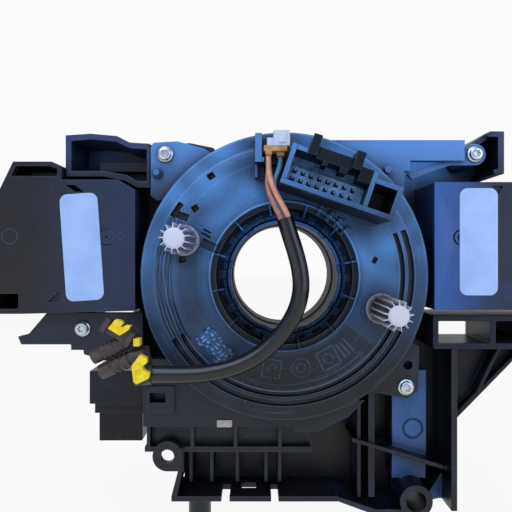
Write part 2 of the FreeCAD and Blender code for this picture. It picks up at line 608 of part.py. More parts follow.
def rotor_disc():
    """The turning front disc: plate, ring grooves, worn channel, windows and plug seat."""
    plate = rod("disc_plate", d.rotor_r, 0, d.rotor_plate)
    seat = block("plug_seat", (d.seat_left, d.seat_right), (d.seat_front, d.rotor_plate),
                 (d.seat_low, d.seat_high))
    base = block("header_base", (d.base_left, d.header_long), (d.base_front, d.rotor_plate),
                 (0 - d.base_high, 0))
    body = fuse("disc_body", [plate, seat, header_place(held("header_base_set", base))])
    through = (Size(0) - OVER, d.rotor_plate + OVER)
    grooved = (Size(0) - OVER, d.groove_depth)
    rings = (
        ("outer_groove", d.disc_groove_mid, d.disc_groove_out, d.groove_depth, d.groove_start,
         d.groove_sweep),
        ("inner_groove", d.disc_groove_in, d.disc_groove_ring, d.groove_depth, d.groove_start,
         d.groove_sweep),
        ("worn_channel", d.disc_groove_out - d.scuff_wide, d.disc_groove_out, d.scuff_depth, d.scuff_start,
         d.scuff_sweep),
        ("symbol_field", d.symbol_in_r, d.symbol_out_r, d.symbol_depth, d.symbol_start, d.symbol_sweep),
    )
    holes = (
        ("peg_hole_one", d.peg_one_x, d.peg_one_z, d.peg_hole, d.peg_hole, d.peg_turn, through),
        ("peg_hole_two", d.peg_two_x, d.peg_two_z, d.peg_hole, d.peg_hole, d.peg_turn, through),
        ("window", d.window_x, d.window_z, d.window_wide, d.window_high, d.window_turn, through),
        ("disc_slot", d.slot_x, d.slot_z, d.slot_long, d.slot_wide, d.slot_turn, grooved),
        ("floor_window", d.floor_window_x, d.floor_window_z, d.floor_window_wide, d.floor_window_high,
         d.floor_window_turn, grooved),
    )
    tools = [rod("disc_hole", d.disc_hole_r, *through)]
    tools += [sector(name, inner, outer, -OVER, deep, start, sweep)
              for name, inner, outer, deep, start, sweep in rings]
    tools += [slanted(name, x, z, wide, high, angle, *depth) for name, x, z, wide, high, angle,
              depth in holes]
    tools += [
        block("plug_pocket", (d.seat_left + d.seat_wall, d.seat_right + OVER),
              (d.seat_front - OVER, d.seat_floor),
              (d.plug_low - d.plug_clear - d.plug_collar, d.seat_high + OVER)),
        block("wire_gate", (d.gate_left, d.gate_right), (d.seat_front - OVER, d.gate_floor),
              (d.seat_low - OVER, d.plug_low)),
        rod("left_pin_hole", d.pin_core_r, *through, x=d.pin_left_x, z=d.pin_left_z),
        rod("right_pin_hole", d.pin_core_r, *through, x=d.pin_right_x, z=d.pin_right_z),
    ]
    return node("rotor_disc", cut("disc", body, tools))


def around_axis(name, number, first, make):
    """Copies spread evenly round the column axis: make gives copy i as it stands at angle 0."""
    return [turn(held("%s_set_%d" % (name, i), make("%s_%d" % (name, i))), 360 / number * i + first)
            for i in range(count(number))]


def rotor_hub():
    """The sleeve that turns with the shaft, its flange behind the disc and the drum that the ribbon winds on."""
    outline = [
        (d.bore_r, d.sleeve_front), (d.sleeve_r, d.sleeve_front), (d.sleeve_r, d.rotor_plate),
        (d.drum_r, d.rotor_plate), (d.drum_r, d.drum_back), (d.drum_in_r, d.drum_back),
        (d.drum_in_r, d.flange_back), (d.sleeve_r, d.flange_back), (d.sleeve_r, d.sleeve_back),
        (d.bore_r, d.sleeve_back),
    ]
    sleeve = turned("hub_sleeve", outline, "Y")

    def key(name):
        return block(name, (d.sleeve_r - d.key_root, d.disc_hole_r - d.key_gap),
                     (d.key_front, d.rotor_plate + d.key_tail), (d.key_wide / -2, d.key_wide / 2))

    def notch(name):
        return block(name, (d.bore_r - OVER, d.sleeve_r + OVER),
                     (d.sleeve_front - OVER, d.sleeve_front + d.notch_deep),
                     (d.notch_wide / -2, d.notch_wide / 2))

    body = fuse("hub_body", [sleeve] + around_axis("hub_key", d.key_count, d.key_turn, key))
    return node("rotor_hub", cut("hub", body, around_axis("hub_notch", d.notch_count, d.notch_turn, notch)))


def angle_code_ring():
    """The slotted ring behind the clock spring that the steering angle sensor reads."""
    ring = tube("code_blank", d.code_r, d.sleeve_r, d.code_front, d.code_back)

    def slot(name):
        return block(name, (d.code_r - d.code_slot_deep, d.code_r + OVER),
                     (d.code_front - OVER, d.code_back + OVER),
                     (d.code_slot / -2, d.code_slot / 2))

    return node("angle_code_ring", cut("code_ring", ring,
                                       around_axis("code_slot", d.code_count, d.code_turn, slot)))


def drive_pin(side, x, z):
    """A fluted plastic pin that drives the steering wheel's switches round: core, teeth, flange and blunt tip."""
    front = 0 - d.pin_long
    core = rod("core_" + side, d.pin_core_r, front + d.pin_dome, d.rotor_plate, x, 0, z)
    tip = cone("tip_" + side, d.pin_tip, d.pin_core_r, front, front + d.pin_dome, x, 0, z)
    flange = rod("flange_" + side, d.pin_flange_r, 0 - d.pin_flange, 0, x, 0, z)

    def tooth(name):
        return block(name, (d.pin_core_r - d.pin_root, d.pin_tooth_r),
                     (front + d.pin_tooth_set, 0 - d.pin_flange),
                     (d.pin_tooth_wide / -2, d.pin_tooth_wide / 2))

    teeth = [put(held("tooth_place_" + side, *around_axis("tooth_" + side, d.pin_tooth_count, 0, tooth)), x,
                 0, z)]
    return node("drive_pin_" + side, fuse("drive_pin_" + side, [core, tip, flange] + teeth))


def terminal_blocks(name, size, front, back):
    """A square block at each terminal of the header."""
    blocks = []
    half = size / 2
    for i in range(count(d.terminal_count)):
        u = d.header_wall + d.terminal_first + d.terminal_pitch * i - d.terminal_pitch / 2
        for j in range(2):
            w = d.header_wall + d.terminal_low + d.terminal_row * j
            blocks.append(block("%s_%d_%d" % (name, i, j), (u - half, u + half), (front, back),
                                (w - half, w + half)))
    return blocks


def connector_header():
    """The socket for the steering-wheel loom: a long cavity with a pin insert and a short pocket at its end."""
    long, high = d.header_long, d.header_high
    wall, split = d.header_wall, d.header_split
    over_split = split + d.header_split_wall
    outline = [(0, 0), (long, 0), (long, d.header_end_high), (over_split, d.header_end_high),
               (over_split, high),
               (0, high)]
    shell = prism("header_shell", [outline], d.header_front, 0)
    depth = (d.header_front - OVER, d.header_floor)
    main = block("header_cavity", (wall, split), depth, (wall, high - wall))
    end = block("header_pocket", (over_split, long - wall), depth, (wall, d.header_end_high - wall))
    gap = block("header_gap", (d.gap_one_left, d.gap_one_right),
                (d.header_front - OVER, d.header_front + d.gap_deep),
                (high - wall - OVER, high + OVER))
    hollow = cut("header_hollow", shell, [main, end, gap])
    extras = [
        block("header_insert", (wall, split), (d.insert_front, d.header_floor), (wall, wall + d.insert_high)),
        block("header_block", (d.block_left, d.block_right), (d.block_front, 0), (high, high + d.block_high)),
        block("header_horn", (d.horn_left, d.horn_left + d.horn_wide), (d.horn_front, 0),
              (high, high + d.horn_high)),
        block("header_rib", (d.rib_left, d.rib_left + d.rib_wide), (d.horn_front, 0),
              (high - wall, high + d.rib_high)),
    ]
    pockets = terminal_blocks("header_pin_pocket", d.terminal_pocket, d.insert_front - OVER, d.terminal_back)
    return node("connector_header", header_place(cut("header", fuse("header_body", [hollow] + extras),
                                                     pockets)))


def connector_terminals():
    """Sixteen square pins in two rows."""
    pins = terminal_blocks("header_pin", d.terminal_wide, d.terminal_front, d.terminal_back)
    return node("connector_terminals", header_place(held("terminals", *pins)))


def lead_plug():
    """The small white plug that feeds the airbag lead, with its stepped top and wire collar."""
    left, right, low, high = d.plug_left, d.plug_right, d.plug_low, d.plug_high
    step = (right - left) / 4
    outline = [(left, low), (right, low), (right, high), (left + step, high), (left + step, high - step),
               (left, high - step)]
    body = prism("plug_body", [outline], d.plug_front, d.seat_floor)
    collar = block("plug_collar", (left + d.collar_left, right - d.collar_right),
                   (d.plug_front + d.collar_front, d.seat_floor - d.collar_rear), (low - d.plug_collar, low))
    return node("lead_plug", fuse("lead_plug", [body, collar]))



# The routes of the airbag lead's wires and sheath, chosen by hand: x, y and z of each point.
PINK_FRONT = [(-6.8, -9.3, 47.4), (-6.8, -9.3, 43.8), (-6.4, -10.2, 39.4), (-5.1, -11.2, 35.0),
              (-3.0, -12.0, 30.6),
              (-0.8, -12.7, 26.6), (0.76, -13.15, 23.0), (2.13, -13.58, 18.2)]
PINK_BACK = [(-6.6, -6.2, 47.4), (-6.6, -6.2, 43.8), (-7.1, -7.4, 39.6), (-7.1, -9.1, 35.2),
             (-5.8, -10.8, 30.6),
             (-3.9, -12.2, 26.4), (-1.95, -13.0, 22.3), (-0.42, -13.43, 17.5)]
BLUE = [(-2.0, -7.0, 47.4), (-2.0, -7.0, 44.4), (-3.5, -7.1, 40.6), (-4.8, -7.9, 36.6), (-4.4, -9.0, 32.2),
        (-2.8, -10.1, 27.8), (-0.75, -10.8, 22.5), (0.84, -11.33, 17.7)]
SHEATH = [(-0.5, -12.4, 22.6), (1.1, -12.9, 17.0), (3.2, -13.4, 10.6), (5.0, -13.8, 3.6), (5.7, -14.0, -3.4),
          (4.4, -14.0, -10.6), (1.2, -13.8, -17.2), (-3.4, -13.6, -23.2), (-8.9, -13.4, -28.4),
          (-15.8, -13.2, -32.6),
          (-23.5, -13.0, -35.3), (-31.6, -12.8, -36.8), (-39.6, -12.6, -37.3), (-46.4, -12.6, -37.2),
          (-51.4, -12.6, -37.2)]


def cord_tube(label, points, radius):
    """A tube along straight runs joined by arcs that touch both runs, as large as the shorter run allows."""
    points = [V(*p) for p in points]
    edges, radii, here = [], [], points[0]
    for before, corner, after in zip(points, points[1:], points[2:]):
        arrive, leave = (corner - before).normalize(), (after - corner).normalize()
        half = arrive.getAngle(leave) / 2
        set_back = 0.45 * min((corner - before).Length, (after - corner).Length)
        bend = set_back / math.tan(half)
        radii.append(bend)
        start, end = corner - arrive * set_back, corner + leave * set_back
        inward = (leave - arrive).normalize()
        middle = corner + inward * (bend / math.cos(half) - bend)
        edges += [Part.LineSegment(here, start).toShape(), Part.Arc(start, middle, end).toShape()]
        here = end
    edges.append(Part.LineSegment(here, points[-1]).toShape())
    path = Part.Wire(edges)
    section = Part.Wire([Part.Circle(points[0], points[1] - points[0], radius).toShape()])
    shape = path.makePipeShell([section], True, False)
    length = sum(edge.Length for edge in edges)
    expected = math.pi * radius ** 2 * length
    print("%s: length %.1f mm, radii %s, volume %.4f of section times length"
          % (label, length, " ".join("%.0f" % r for r in radii), shape.Volume / expected))
    return shape


def airbag_lead():
    """Three wires into one sheath, whose mouth is hollow so that the wires run a little way in."""
    for label, points, size in (("pink_wire_front", PINK_FRONT, d.pink_r),
                                ("pink_wire_back", PINK_BACK, d.pink_r),
                                ("blue_wire", BLUE, d.blue_r)):
        node(label, feature(label, cord_tube(label, points, float(size))))
    sheath = cord_tube("lead_sheath", SHEATH, float(d.sheath_r))
    start, second = V(*SHEATH[0]), V(*SHEATH[1])
    mouth = Part.makeCylinder(float(d.mouth_r), float(d.mouth_deep), start, second - start)
    node("lead_sheath", feature("lead_sheath", sheath.cut(mouth)))


def squib_plug(side, x, z, angle, barrel_x, barrel_z, barrel_long):
    """An airbag plug: a flat head, a round barrel with ring ribs, and a seat for its lock."""
    head = slanted("head_" + side, x, z, d.head_long, d.head_wide, angle, d.head_front, d.head_back)
    seat = slanted("lock_seat_" + side, x, z, d.lock_long + d.lock_clear * 2, d.lock_wide + OVER, angle,
                   d.head_front - OVER, d.head_front + d.lock_tongue)
    pieces = [rod("barrel_core_" + side, d.barrel_r, 0, barrel_long, along="X")]
    for i in range(count(d.barrel_rings)):
        start = barrel_long * (d.barrel_first + d.barrel_pitch * i)
        pieces.append(rod("barrel_ring_%s_%d" % (side, i), d.barrel_r + d.barrel_ring, start,
                          start + d.barrel_ring_wide, along="X"))
    barrel = held("barrel_set_" + side, fuse("barrel_" + side, pieces))
    whole = [head, put(turn(barrel, d.barrel_turn + 180), barrel_x, d.barrel_y, barrel_z)]
    if side == "lower":
        end_x, end_y, end_z = SHEATH[-1]
        whole.append(rod("lead_relief", d.relief_r, d.relief_x, end_x, y=end_y, z=end_z, along="X"))
    body = cut("squib_body_" + side, fuse("squib_whole_" + side, whole), [seat])
    node("squib_plug_" + side, body)


def squib_lock(side, x, z, angle):
    """The yellow lock: a notched plate with a small hole, on a tongue that slides in the plug's head."""
    long, wide = d.lock_long, d.lock_wide
    half, notch = long / 2, d.lock_notch / 2
    outline = [(0 - half, wide / -2), (half, wide / -2), (half, 0 - notch), (half - notch, 0 - notch),
               (half - notch, notch), (half, notch), (half, wide / 2), (0 - half, wide / 2)]
    seat = d.head_front + d.lock_tongue
    plate = prism("lock_" + side, [outline, (0 - notch, 0, d.lock_hole_r)], seat - d.lock_thick,
                  seat - d.lock_lift)
    node("squib_lock_" + side, put(turn(held("lock_set_" + side, plate), angle), x, 0, z))


def stator():
    """The clock spring's fixed case: ring wall with screw ears, a long arm to the right and a tab below."""
    wall = tube("case_wall_ring", d.case_r, d.case_r - d.case_wall, d.case_front, d.case_back)
    x, z = d.screw_ul_x, d.screw_ul_z
    ear_left = prism("ear_left", [[
        (x - 6.2, z - 17.5), (x - 3.1, z - 19.6), (d.ear_a_x, d.ear_a_z), (d.ear_b_x, d.ear_b_z),
        (x + 16.0, z + 2.6),
        (x + 5.0, z + 5.6), (x - 5.0, z + 5.0), (x - 6.2, z + 3.0)]], d.ear_front, d.ear_back)
    x, z = d.screw_lr_x, d.screw_lr_z
    ear_right = prism("ear_right", [[
        (x - 14.3, z - 2.1), (x + 0.7, z - 5.0), (x + 5.0, z - 1.7), (x + 5.5, z + 5.5), (x + 5.5, z + 17.0),
        (d.ear_c_x, d.ear_c_z), (d.ear_d_x, d.ear_d_z)]], d.ear_front, d.ear_back)
    arm = prism("arm", [[
        (d.arm_left, d.arm_left_z), (d.arm_left, d.arm_top), (d.arm_right, d.arm_top),
        (d.arm_right, d.arm_low),
        (d.arm_step_x, d.arm_low), (d.arm_step_x, d.arm_step_z), (d.arm_inner_x, d.arm_step_z),
        (d.arm_inner_x, d.arm_inner_z), (d.arm_root_x, d.arm_root_z)]], d.arm_front, d.ear_back)
    lug = rod("lug", d.lug_r, d.lug_front, d.ear_back, d.screw_ur_x, 0, d.screw_ur_z)
    strip = prism("strip", [[
        (d.strip_left + 2, d.strip_low), (d.strip_bend, d.strip_bend_low),
        (d.screw_ur_x, d.screw_ur_z - d.lug_r),
        (d.screw_ur_x, d.screw_ur_z), (d.strip_bend, d.strip_bend_low + d.strip_wide),
        (d.strip_left, d.strip_low + d.strip_wide)]], d.lug_front, d.ear_back)
    tab = prism("tab", [[
        (d.tab_root_left, d.tab_root_z), (d.tab_bend, d.tab_bend_z), (d.tab_left, d.tab_top),
        (d.tab_left, d.tab_low),
        (d.tab_right, d.tab_low), (d.tab_right + d.tab_slope, d.tab_slope_z),
        (d.tab_root_right, d.tab_root_z)]],
        d.arm_front, d.ear_back)
    pin_x, pin_z = d.screw_ul_x - d.pin_left, d.screw_ul_z - d.pin_under
    pin = cone("locating_pin", d.pin_small, d.pin_large, d.ear_front - d.pin_high, d.ear_front, pin_x, 0,
               pin_z)
    peg = rod("stop_peg", d.stop_peg_r, d.arm_front - d.stop_peg_high, d.arm_front, d.stop_peg_x, 0,
              d.stop_peg_z)
    inside = rod("case_inside", d.case_r - d.case_wall, d.case_front - OVER, d.case_back + OVER)
    holes = [screw_hole("stator_ul", d.screw_ul_x, d.screw_ul_z, d.ear_front),
             screw_hole("stator_lr", d.screw_lr_x, d.screw_lr_z, d.ear_front),
             screw_hole("stator_ur", d.screw_ur_x, d.screw_ur_z, d.lug_front),
             rod("ear_hole", d.ear_hole, d.ear_front - OVER, d.ear_back + OVER, d.screw_lr_x + d.ear_hole_in,
                 0,
                 d.screw_lr_z + d.ear_hole_up)]
    anchor_face = d.ribbon_in_r + d.ribbon_pitch / 2 * (d.ribbon_halves - 1) + d.ribbon_thick
    anchor = block("ribbon_anchor", (d.case_wall / 4 - d.case_r, 0 - anchor_face),
                   (d.ribbon_front, d.case_back),
                   (d.anchor_high / -2, d.anchor_high / 2))
    body = fuse("case_body", [wall, ear_left, ear_right, arm, lug, strip, tab])
    whole = fuse("case", [cut("case_open", body, [inside] + holes), pin, peg, anchor])
    return node("stator_housing", whole)


def screw_hole(name, x, z, seat):
    """A hole that the screw's shank fills, through whatever it fastens."""
    return rod("hole_" + name, d.shank_r, seat - d.head_high, seat + d.shank_long, x, 0, z)


def stator_rear_cover():
    """The clock spring's rear cover, whose middle is the sleeve's bearing."""
    cover = tube("rear_cover", d.case_r, d.sleeve_r + d.bearing_gap, d.case_back, d.cover_back)
    return node("stator_rear_cover", cover)


def ribbon_coil():
    """The flat ribbon cable: half turns whose radius grows, each from one of two centres."""
    pitch, thick = float(d.ribbon_pitch), float(d.ribbon_thick)
    first = float(d.ribbon_in_r)
    front = float(d.ribbon_front)

    def side(offset):
        arcs = []
        for i in range(count(d.ribbon_halves)):
            up = i % 2 == 0
            centre = V(0 if up else pitch / 2, front, 0)
            radius = first + offset + pitch / 2 * i
            start = V(radius if up else -radius, 0, 0)
            top = V(0, 0, radius if up else -radius)
            arcs.append(Part.Arc(centre + start, centre + top, centre - start).toShape())
        return arcs

    inner, outer = side(0), side(thick)
    ends = [Part.LineSegment(one.valueAt(one.FirstParameter), two.valueAt(two.FirstParameter))
            for one, two in [(inner[0], outer[0])]]
    ends += [Part.LineSegment(one.valueAt(one.LastParameter), two.valueAt(two.LastParameter))
             for one, two in [(inner[-1], outer[-1])]]
    wire = Part.Wire(Part.__sortEdges__(inner + outer + [end.toShape() for end in ends]))
    ribbon = Part.Face(wire).extrude(V(0, float(d.ribbon_wide), 0))
    return node("ribbon_coil", feature("ribbon_coil", ribbon))


def mounting_screws():
    """Four flanged screws with a star drive."""
    screws = []
    places = ((d.screw_ul_x, d.screw_ul_z, d.ear_front), (d.screw_lr_x, d.screw_lr_z, d.ear_front),
              (d.screw_ur_x, d.screw_ur_z, d.lug_front), (d.screw_ll_x, d.screw_ll_z, d.arm_plate_front))
    for i, (x, z, seat) in enumerate(places):
        top = seat - d.head_high
        solids = [
            rod("screw_flange_%d" % i, d.head_r, seat - d.washer, seat, x, 0, z),
            cone("screw_head_%d" % i, d.head_r - d.head_step, d.head_r - d.head_step + d.head_draft, top,
                 seat - d.washer, x, 0, z),
            rod("screw_shank_%d" % i, d.shank_r, seat, seat + d.shank_long - d.shank_tip, x, 0, z),
        ]
        drive = rod("screw_drive_%d" % i, d.drive_r, top - OVER, top + d.drive_deep, x, 0, z)
        screws.append(cut("screw_%d" % i, fuse("screw_body_%d" % i, solids), [drive]))
    return node("mounting_screws", held("screws", *screws))


def carrier_tools():
    """Everything that is cut out of the carrier's mouldings."""
    frame = d.frame_wall
    return dict(
        latch=block("latch_window", (d.latch_window_left, d.latch_window_right),
                    (d.low_front - d.low_thick, d.low_front + d.low_thick + OVER),
                    (d.latch_window_low, d.latch_window_top)),
        ear=rod("carrier_ear_hole", d.ear_hole_r, d.ear_plate_front - OVER,
                d.ear_plate_front + d.arm_plate + OVER,
                d.ear_hole_x, 0, d.ear_hole_z),
        ring=rod("carrier_ring_hole", d.ring_hole_r, d.ring_front - OVER, d.plate_back + OVER, d.ring_x, 0,
                 d.ring_z),
        ul=screw_hole("carrier_ul", d.screw_ul_x, d.screw_ul_z, d.ear_front),
        lr=screw_hole("carrier_lr", d.screw_lr_x, d.screw_lr_z, d.ear_front),
        ur=screw_hole("carrier_ur", d.screw_ur_x, d.screw_ur_z, d.lug_front),
        ll=screw_hole("carrier_ll", d.screw_ll_x, d.screw_ll_z, d.arm_plate_front),
        room=rod("case_room", d.case_r + d.case_gap, d.case_front - OVER, d.cover_back),
        post=rod("post_hole", d.post_r, d.post_high - d.post_sleeve - OVER, d.post_high, d.post_x, d.post_y,
                 0, "Z"),
        cell=prism("frame_open_one", [rectangle(d.frame_left + frame, d.frame_mid - frame,
                                                d.frame_low + frame,
                                                d.frame_top - frame)], d.frame_front - OVER,
                                                d.plate_back + OVER),
    )


def pocket_top():
    """The upper edge of the pocket, which the plate behind it shares, from right to left."""
    return [(d.pocket_right, d.pocket_end_z), (d.pocket_dip_x, d.pocket_dip_z),
            (d.pocket_ridge_x, d.pocket_ridge_z),
            (d.pocket_crown_x, d.pocket_crown_z), (d.pocket_left, d.pocket_top)]


def carrier_bracket(tools):
    """The carrier's back plate with a wing behind each switch, its screw bosses and the lower post's sleeve."""
    front, back = d.cover_back, d.plate_back
    outline = [
        (d.left_edge, d.web_low), (d.inner_left, d.web_low), (d.inner_left, d.low_edge),
        (d.lip_right, d.low_edge), (d.corner_x, d.corner_z), (d.right_edge, d.corner_z),
        (d.right_edge, d.frame_low - d.slope_low), (d.slope_x, d.frame_low), (d.frame_right, d.frame_low),
        (d.frame_right, d.frame_top), (d.wing_step, d.frame_top), (d.wing_step, d.wing_low),
        (d.wing_right_x, d.wing_low), (d.wing_right_x, d.wing_top), (d.hook_right, d.hook_low),
        (d.hook_right, d.hook_top), (d.hook_left, d.hook_top), (d.brace_x, d.brace_z),
        (d.top_right, d.top_right_z), (0, d.top_mid_z), (d.top_left, d.top_left_z), *pocket_top(),
        (d.pocket_left, d.pocket_low), (d.wing_bend, d.wing_bend_z), (d.wing_left_x, d.wing_left_top),
        (d.wing_left_x, d.wing_low), (d.left_edge, d.wing_low),
    ]
    parts = [prism("carrier_plate", [outline, (0, 0, d.collar_entry_r)], front, back)]
    for name, x, z in (("ul", d.screw_ul_x, d.screw_ul_z), ("lr", d.screw_lr_x, d.screw_lr_z),
                       ("ur", d.screw_ur_x, d.screw_ur_z)):
        parts.append(rod("boss_" + name, d.boss_r, d.ear_back, front + OVER, x, 0, z))
    low, high = d.post_high - d.post_sleeve, d.post_high + d.post_roof
    outer = d.post_r + d.post_wall
    half = outer - d.post_bridge_in
    parts.append(rod("post_seat", outer, low, high, d.post_x, d.post_y, 0, "Z"))
    parts.append(block("post_bridge", (d.post_x - half, d.post_x + half), (front + OVER, d.post_y),
                       (low, high)))
    body = fuse("carrier_body", parts)
    keys = ("ul", "lr", "ur", "ring", "cell", "post")
    return node("carrier_bracket", cut("carrier", body, [tools[key] for key in keys]))


def column_collar():
    """The collar behind the plate that is pushed on the end of the steering column's tube."""
    back = d.plate_back
    collar = turned("collar", [
        (d.collar_entry_r, back), (d.collar_entry_r, d.collar_step), (d.collar_bore_r, d.collar_step),
        (d.collar_bore_r, d.collar_back), (d.collar_r - d.collar_round, d.collar_back),
        (d.collar_r, d.collar_back - d.collar_round), (d.collar_r, back)], "Y")
    return node("column_collar", collar)


def upper_pocket(tools):
    """The walled pocket at the upper left with its shelf, and the wall between it and the clock spring."""
    front = d.cover_back
    foot = [(d.pocket_left, d.pocket_low), (d.pocket_bend_x, d.pocket_low),
            (d.pocket_slope_x, d.pocket_slope_z),
            (d.pocket_foot_x, d.pocket_foot_z), (d.pocket_right, d.pocket_foot_z)]
    side, skew = d.pocket_wall, d.pocket_skew
    right = d.pocket_right - d.pocket_end_wall
    inside = [
        (d.pocket_left + side, d.pocket_low + side), (d.pocket_bend_x + skew, d.pocket_low + side),
        (d.pocket_slope_x + skew, d.pocket_slope_z + side + skew),
        (d.pocket_foot_x + skew, d.pocket_foot_z + side + skew),
        (right, d.pocket_foot_z + side + skew), (right, d.pocket_end_z - side),
        (d.pocket_dip_x, d.pocket_dip_z - side), (d.pocket_ridge_x - skew, d.pocket_ridge_z - side),
        (d.pocket_crown_x, d.pocket_crown_z - side), (d.pocket_left + side, d.pocket_top - side),
    ]
    shelf = block("pocket_shelf", (d.shelf_left, d.pocket_right), (d.shelf_front, front),
                  (d.shelf_low, d.shelf_high))
    wall = prism("top_wall", [[
        (d.pocket_right - d.pocket_end_wall, d.top_start), (d.top_left, d.top_under),
        (d.top_inner, d.top_inner_z),
        (d.top_left, d.top_crown), (d.top_bend, d.top_bend_z),
        (d.pocket_right - d.pocket_end_wall, d.pocket_end_z)]],
        d.top_front, front)
    parts = [prism("pocket_ring", [foot + pocket_top(), inside], d.pocket_front, front), shelf, wall]
    body = fuse("pocket_body", parts)
    return node("upper_pocket", cut("pocket", body, [tools["room"], boss_room("ul")]))


def boss_room(corner):
    """Room for one of the plate's screw bosses."""
    x, z = {"ul": (d.screw_ul_x, d.screw_ul_z), "lr": (d.screw_lr_x, d.screw_lr_z),
            "ur": (d.screw_ur_x, d.screw_ur_z)}[corner]
    return rod("boss_room_" + corner, d.boss_r, d.ear_back - OVER, d.cover_back + OVER, x, 0, z)


def right_hook():
    """The hook at the upper right and the brace that leads to it."""
    lip, wall, front = d.hook_lip, d.carrier_wall, d.cover_back
    left, right, top = d.hook_left, d.hook_right, d.hook_top
    rise = d.hook_low + d.hook_lip_rise
    hook = prism("hook", [[
        (left, top), (left, top - wall), (lip + d.hook_lip_out, top - wall), (lip + d.hook_lip_out, rise),
        (lip - d.hook_lip_in, rise), (lip - d.hook_lip_in, d.hook_low), (right, d.hook_low), (right, top)]],
        d.hook_front, front)
    brace = prism("brace", [[
        (d.brace_x, d.brace_z), (left, top), (lip, top), (lip, top - wall), (left + d.brace_in, top - wall),
        (d.brace_x + d.brace_in, d.brace_z - d.brace_thick)]], d.brace_front, front)
    return node("right_hook", cut("hook_whole", fuse("hook_body", [hook, brace]), [boss_room("ur")]))


def left_arm(tools):
    """The arm at the lower left that carries the left switch's screw, and the web behind it."""
    front = d.arm_plate_front
    outline = [
        (d.arm_top_left, d.arm_top_z), (d.arm_knee_x, d.arm_knee_z), (d.arm_tip_x, d.arm_tip_z),
        (d.arm_tip_x + d.arm_tip_round, d.arm_tip_low), (d.arm_step_one_x, d.arm_tip_low),
        (d.arm_step_one_x, d.arm_step_low), (d.arm_step_two_x, d.arm_step_low),
        (d.arm_step_two_x, d.arm_end_low),
        (d.left_edge, d.web_low), (d.low_left, d.web_low), (d.low_left, d.arm_top_z)]
    plate = prism("arm_sheet", [outline], front, front + d.arm_plate)
    web = block("arm_web", (d.left_edge, d.low_left), (front, d.cover_back), (d.web_low, d.arm_top_z))
    return node("left_arm", cut("arm_whole", fuse("arm_body", [plate, web]), [tools["ll"], tools["room"]]))


def lower_tray(tools):
    """The lower plate with its latch frame, two rows of ribs, the lip below them and the screw ear."""
    front, wall = d.cover_back, d.carrier_wall
    plate_front = d.low_front
    row_front, row_back = d.row_floor, d.row_floor + d.row_thick
    blocks = [
        ("lower_plate", (d.low_left, d.low_right), (plate_front, plate_front + d.low_thick),
         (d.low_bottom, d.low_top)),
        ("lower_web_left", (d.inner_left, d.inner_left + wall), (plate_front, front),
         (d.low_bottom, d.web_low)),
        ("lower_web_right", (d.low_right - wall, d.low_right), (plate_front, front),
         (d.low_bottom, d.web_right_top)),
        ("lower_shelf", (d.inner_left, d.low_right), (plate_front, front),
         (d.low_bottom, d.low_bottom + wall)),
        ("latch_frame", (d.latch_left, d.latch_right),
         (plate_front - d.latch_proud, plate_front + d.low_thick),
         (d.latch_low, d.latch_top)),
        ("row_floor", (d.row_left, d.low_right), (row_front, row_back), (d.ledge_low, d.low_bottom)),
        ("row_ledge", (d.row_left, d.low_right), (plate_front, row_back), (d.ledge_low, d.row_low)),
        ("row_ledge_deep", (d.inner_left, d.low_right), (row_front, front), (d.ledge_low, d.row_low)),
        ("ear_bridge", (d.ear_hole_x, d.inner_left + wall),
         (d.ear_plate_front, d.ear_plate_front + d.arm_plate),
         (d.ear_hole_z - d.ear_round_r, d.row_low)),
    ]
    half = d.rib_wall / 2
    for i, x in enumerate((d.rib_a, d.rib_b, d.rib_c, d.rib_d)):
        blocks.append(("row_rib_%d" % i, (x - half, x + half), (plate_front, row_back),
                       (d.ledge_low, d.low_bottom)))
    for i, x in enumerate((d.fin_a, d.fin_b, d.fin_c, d.fin_d, d.fin_e)):
        blocks.append(("fin_%d" % i, (x - half, x + half), (d.fin_front, front), (d.fin_low, d.row_low)))
    parts = [block(name, *places) for name, *places in blocks]
    parts.append(rod("ear_round", d.ear_round_r, d.ear_plate_front, d.ear_plate_front + d.arm_plate,
                     d.ear_hole_x, 0,
                     d.ear_hole_z))
    inner_x = d.lip_side_x + d.lip_side_wall
    parts.append(prism("lip_side", [[
        (d.lip_side_x, d.row_low), (d.lip_side_x, d.lip_side_z), (d.lip_left, d.lip_top),
        (d.lip_left, d.low_edge),
        (d.lip_left + wall, d.low_edge), (d.lip_left + wall, d.lip_top), (inner_x, d.lip_side_z),
        (inner_x, d.row_low)]], d.lip_front, front))
    lip_blank = block("lip_blank", (d.lip_left, d.lip_right), (d.lip_front, front), (d.low_edge, d.lip_top))
    under, over = d.low_edge - OVER, d.lip_top + OVER
    before = d.lip_front - OVER
    parts.append(cut("lip", lip_blank, [
        block("lip_cut_one", (d.cut_one_left, d.cut_one_right), (before, d.cut_back), (under, over)),
        block("lip_cut_two", (d.cut_two_left, d.cut_two_right), (before, d.cut_back), (under, over)),
        block("lip_hole", (d.lip_hole_left, d.lip_hole_right), (d.lip_hole_front, d.lip_hole_back),
              (under, over))]))
    body = fuse("tray_body", parts)
    return node("lower_tray", cut("tray", body, [tools[key] for key in ("latch", "ear", "room")]))


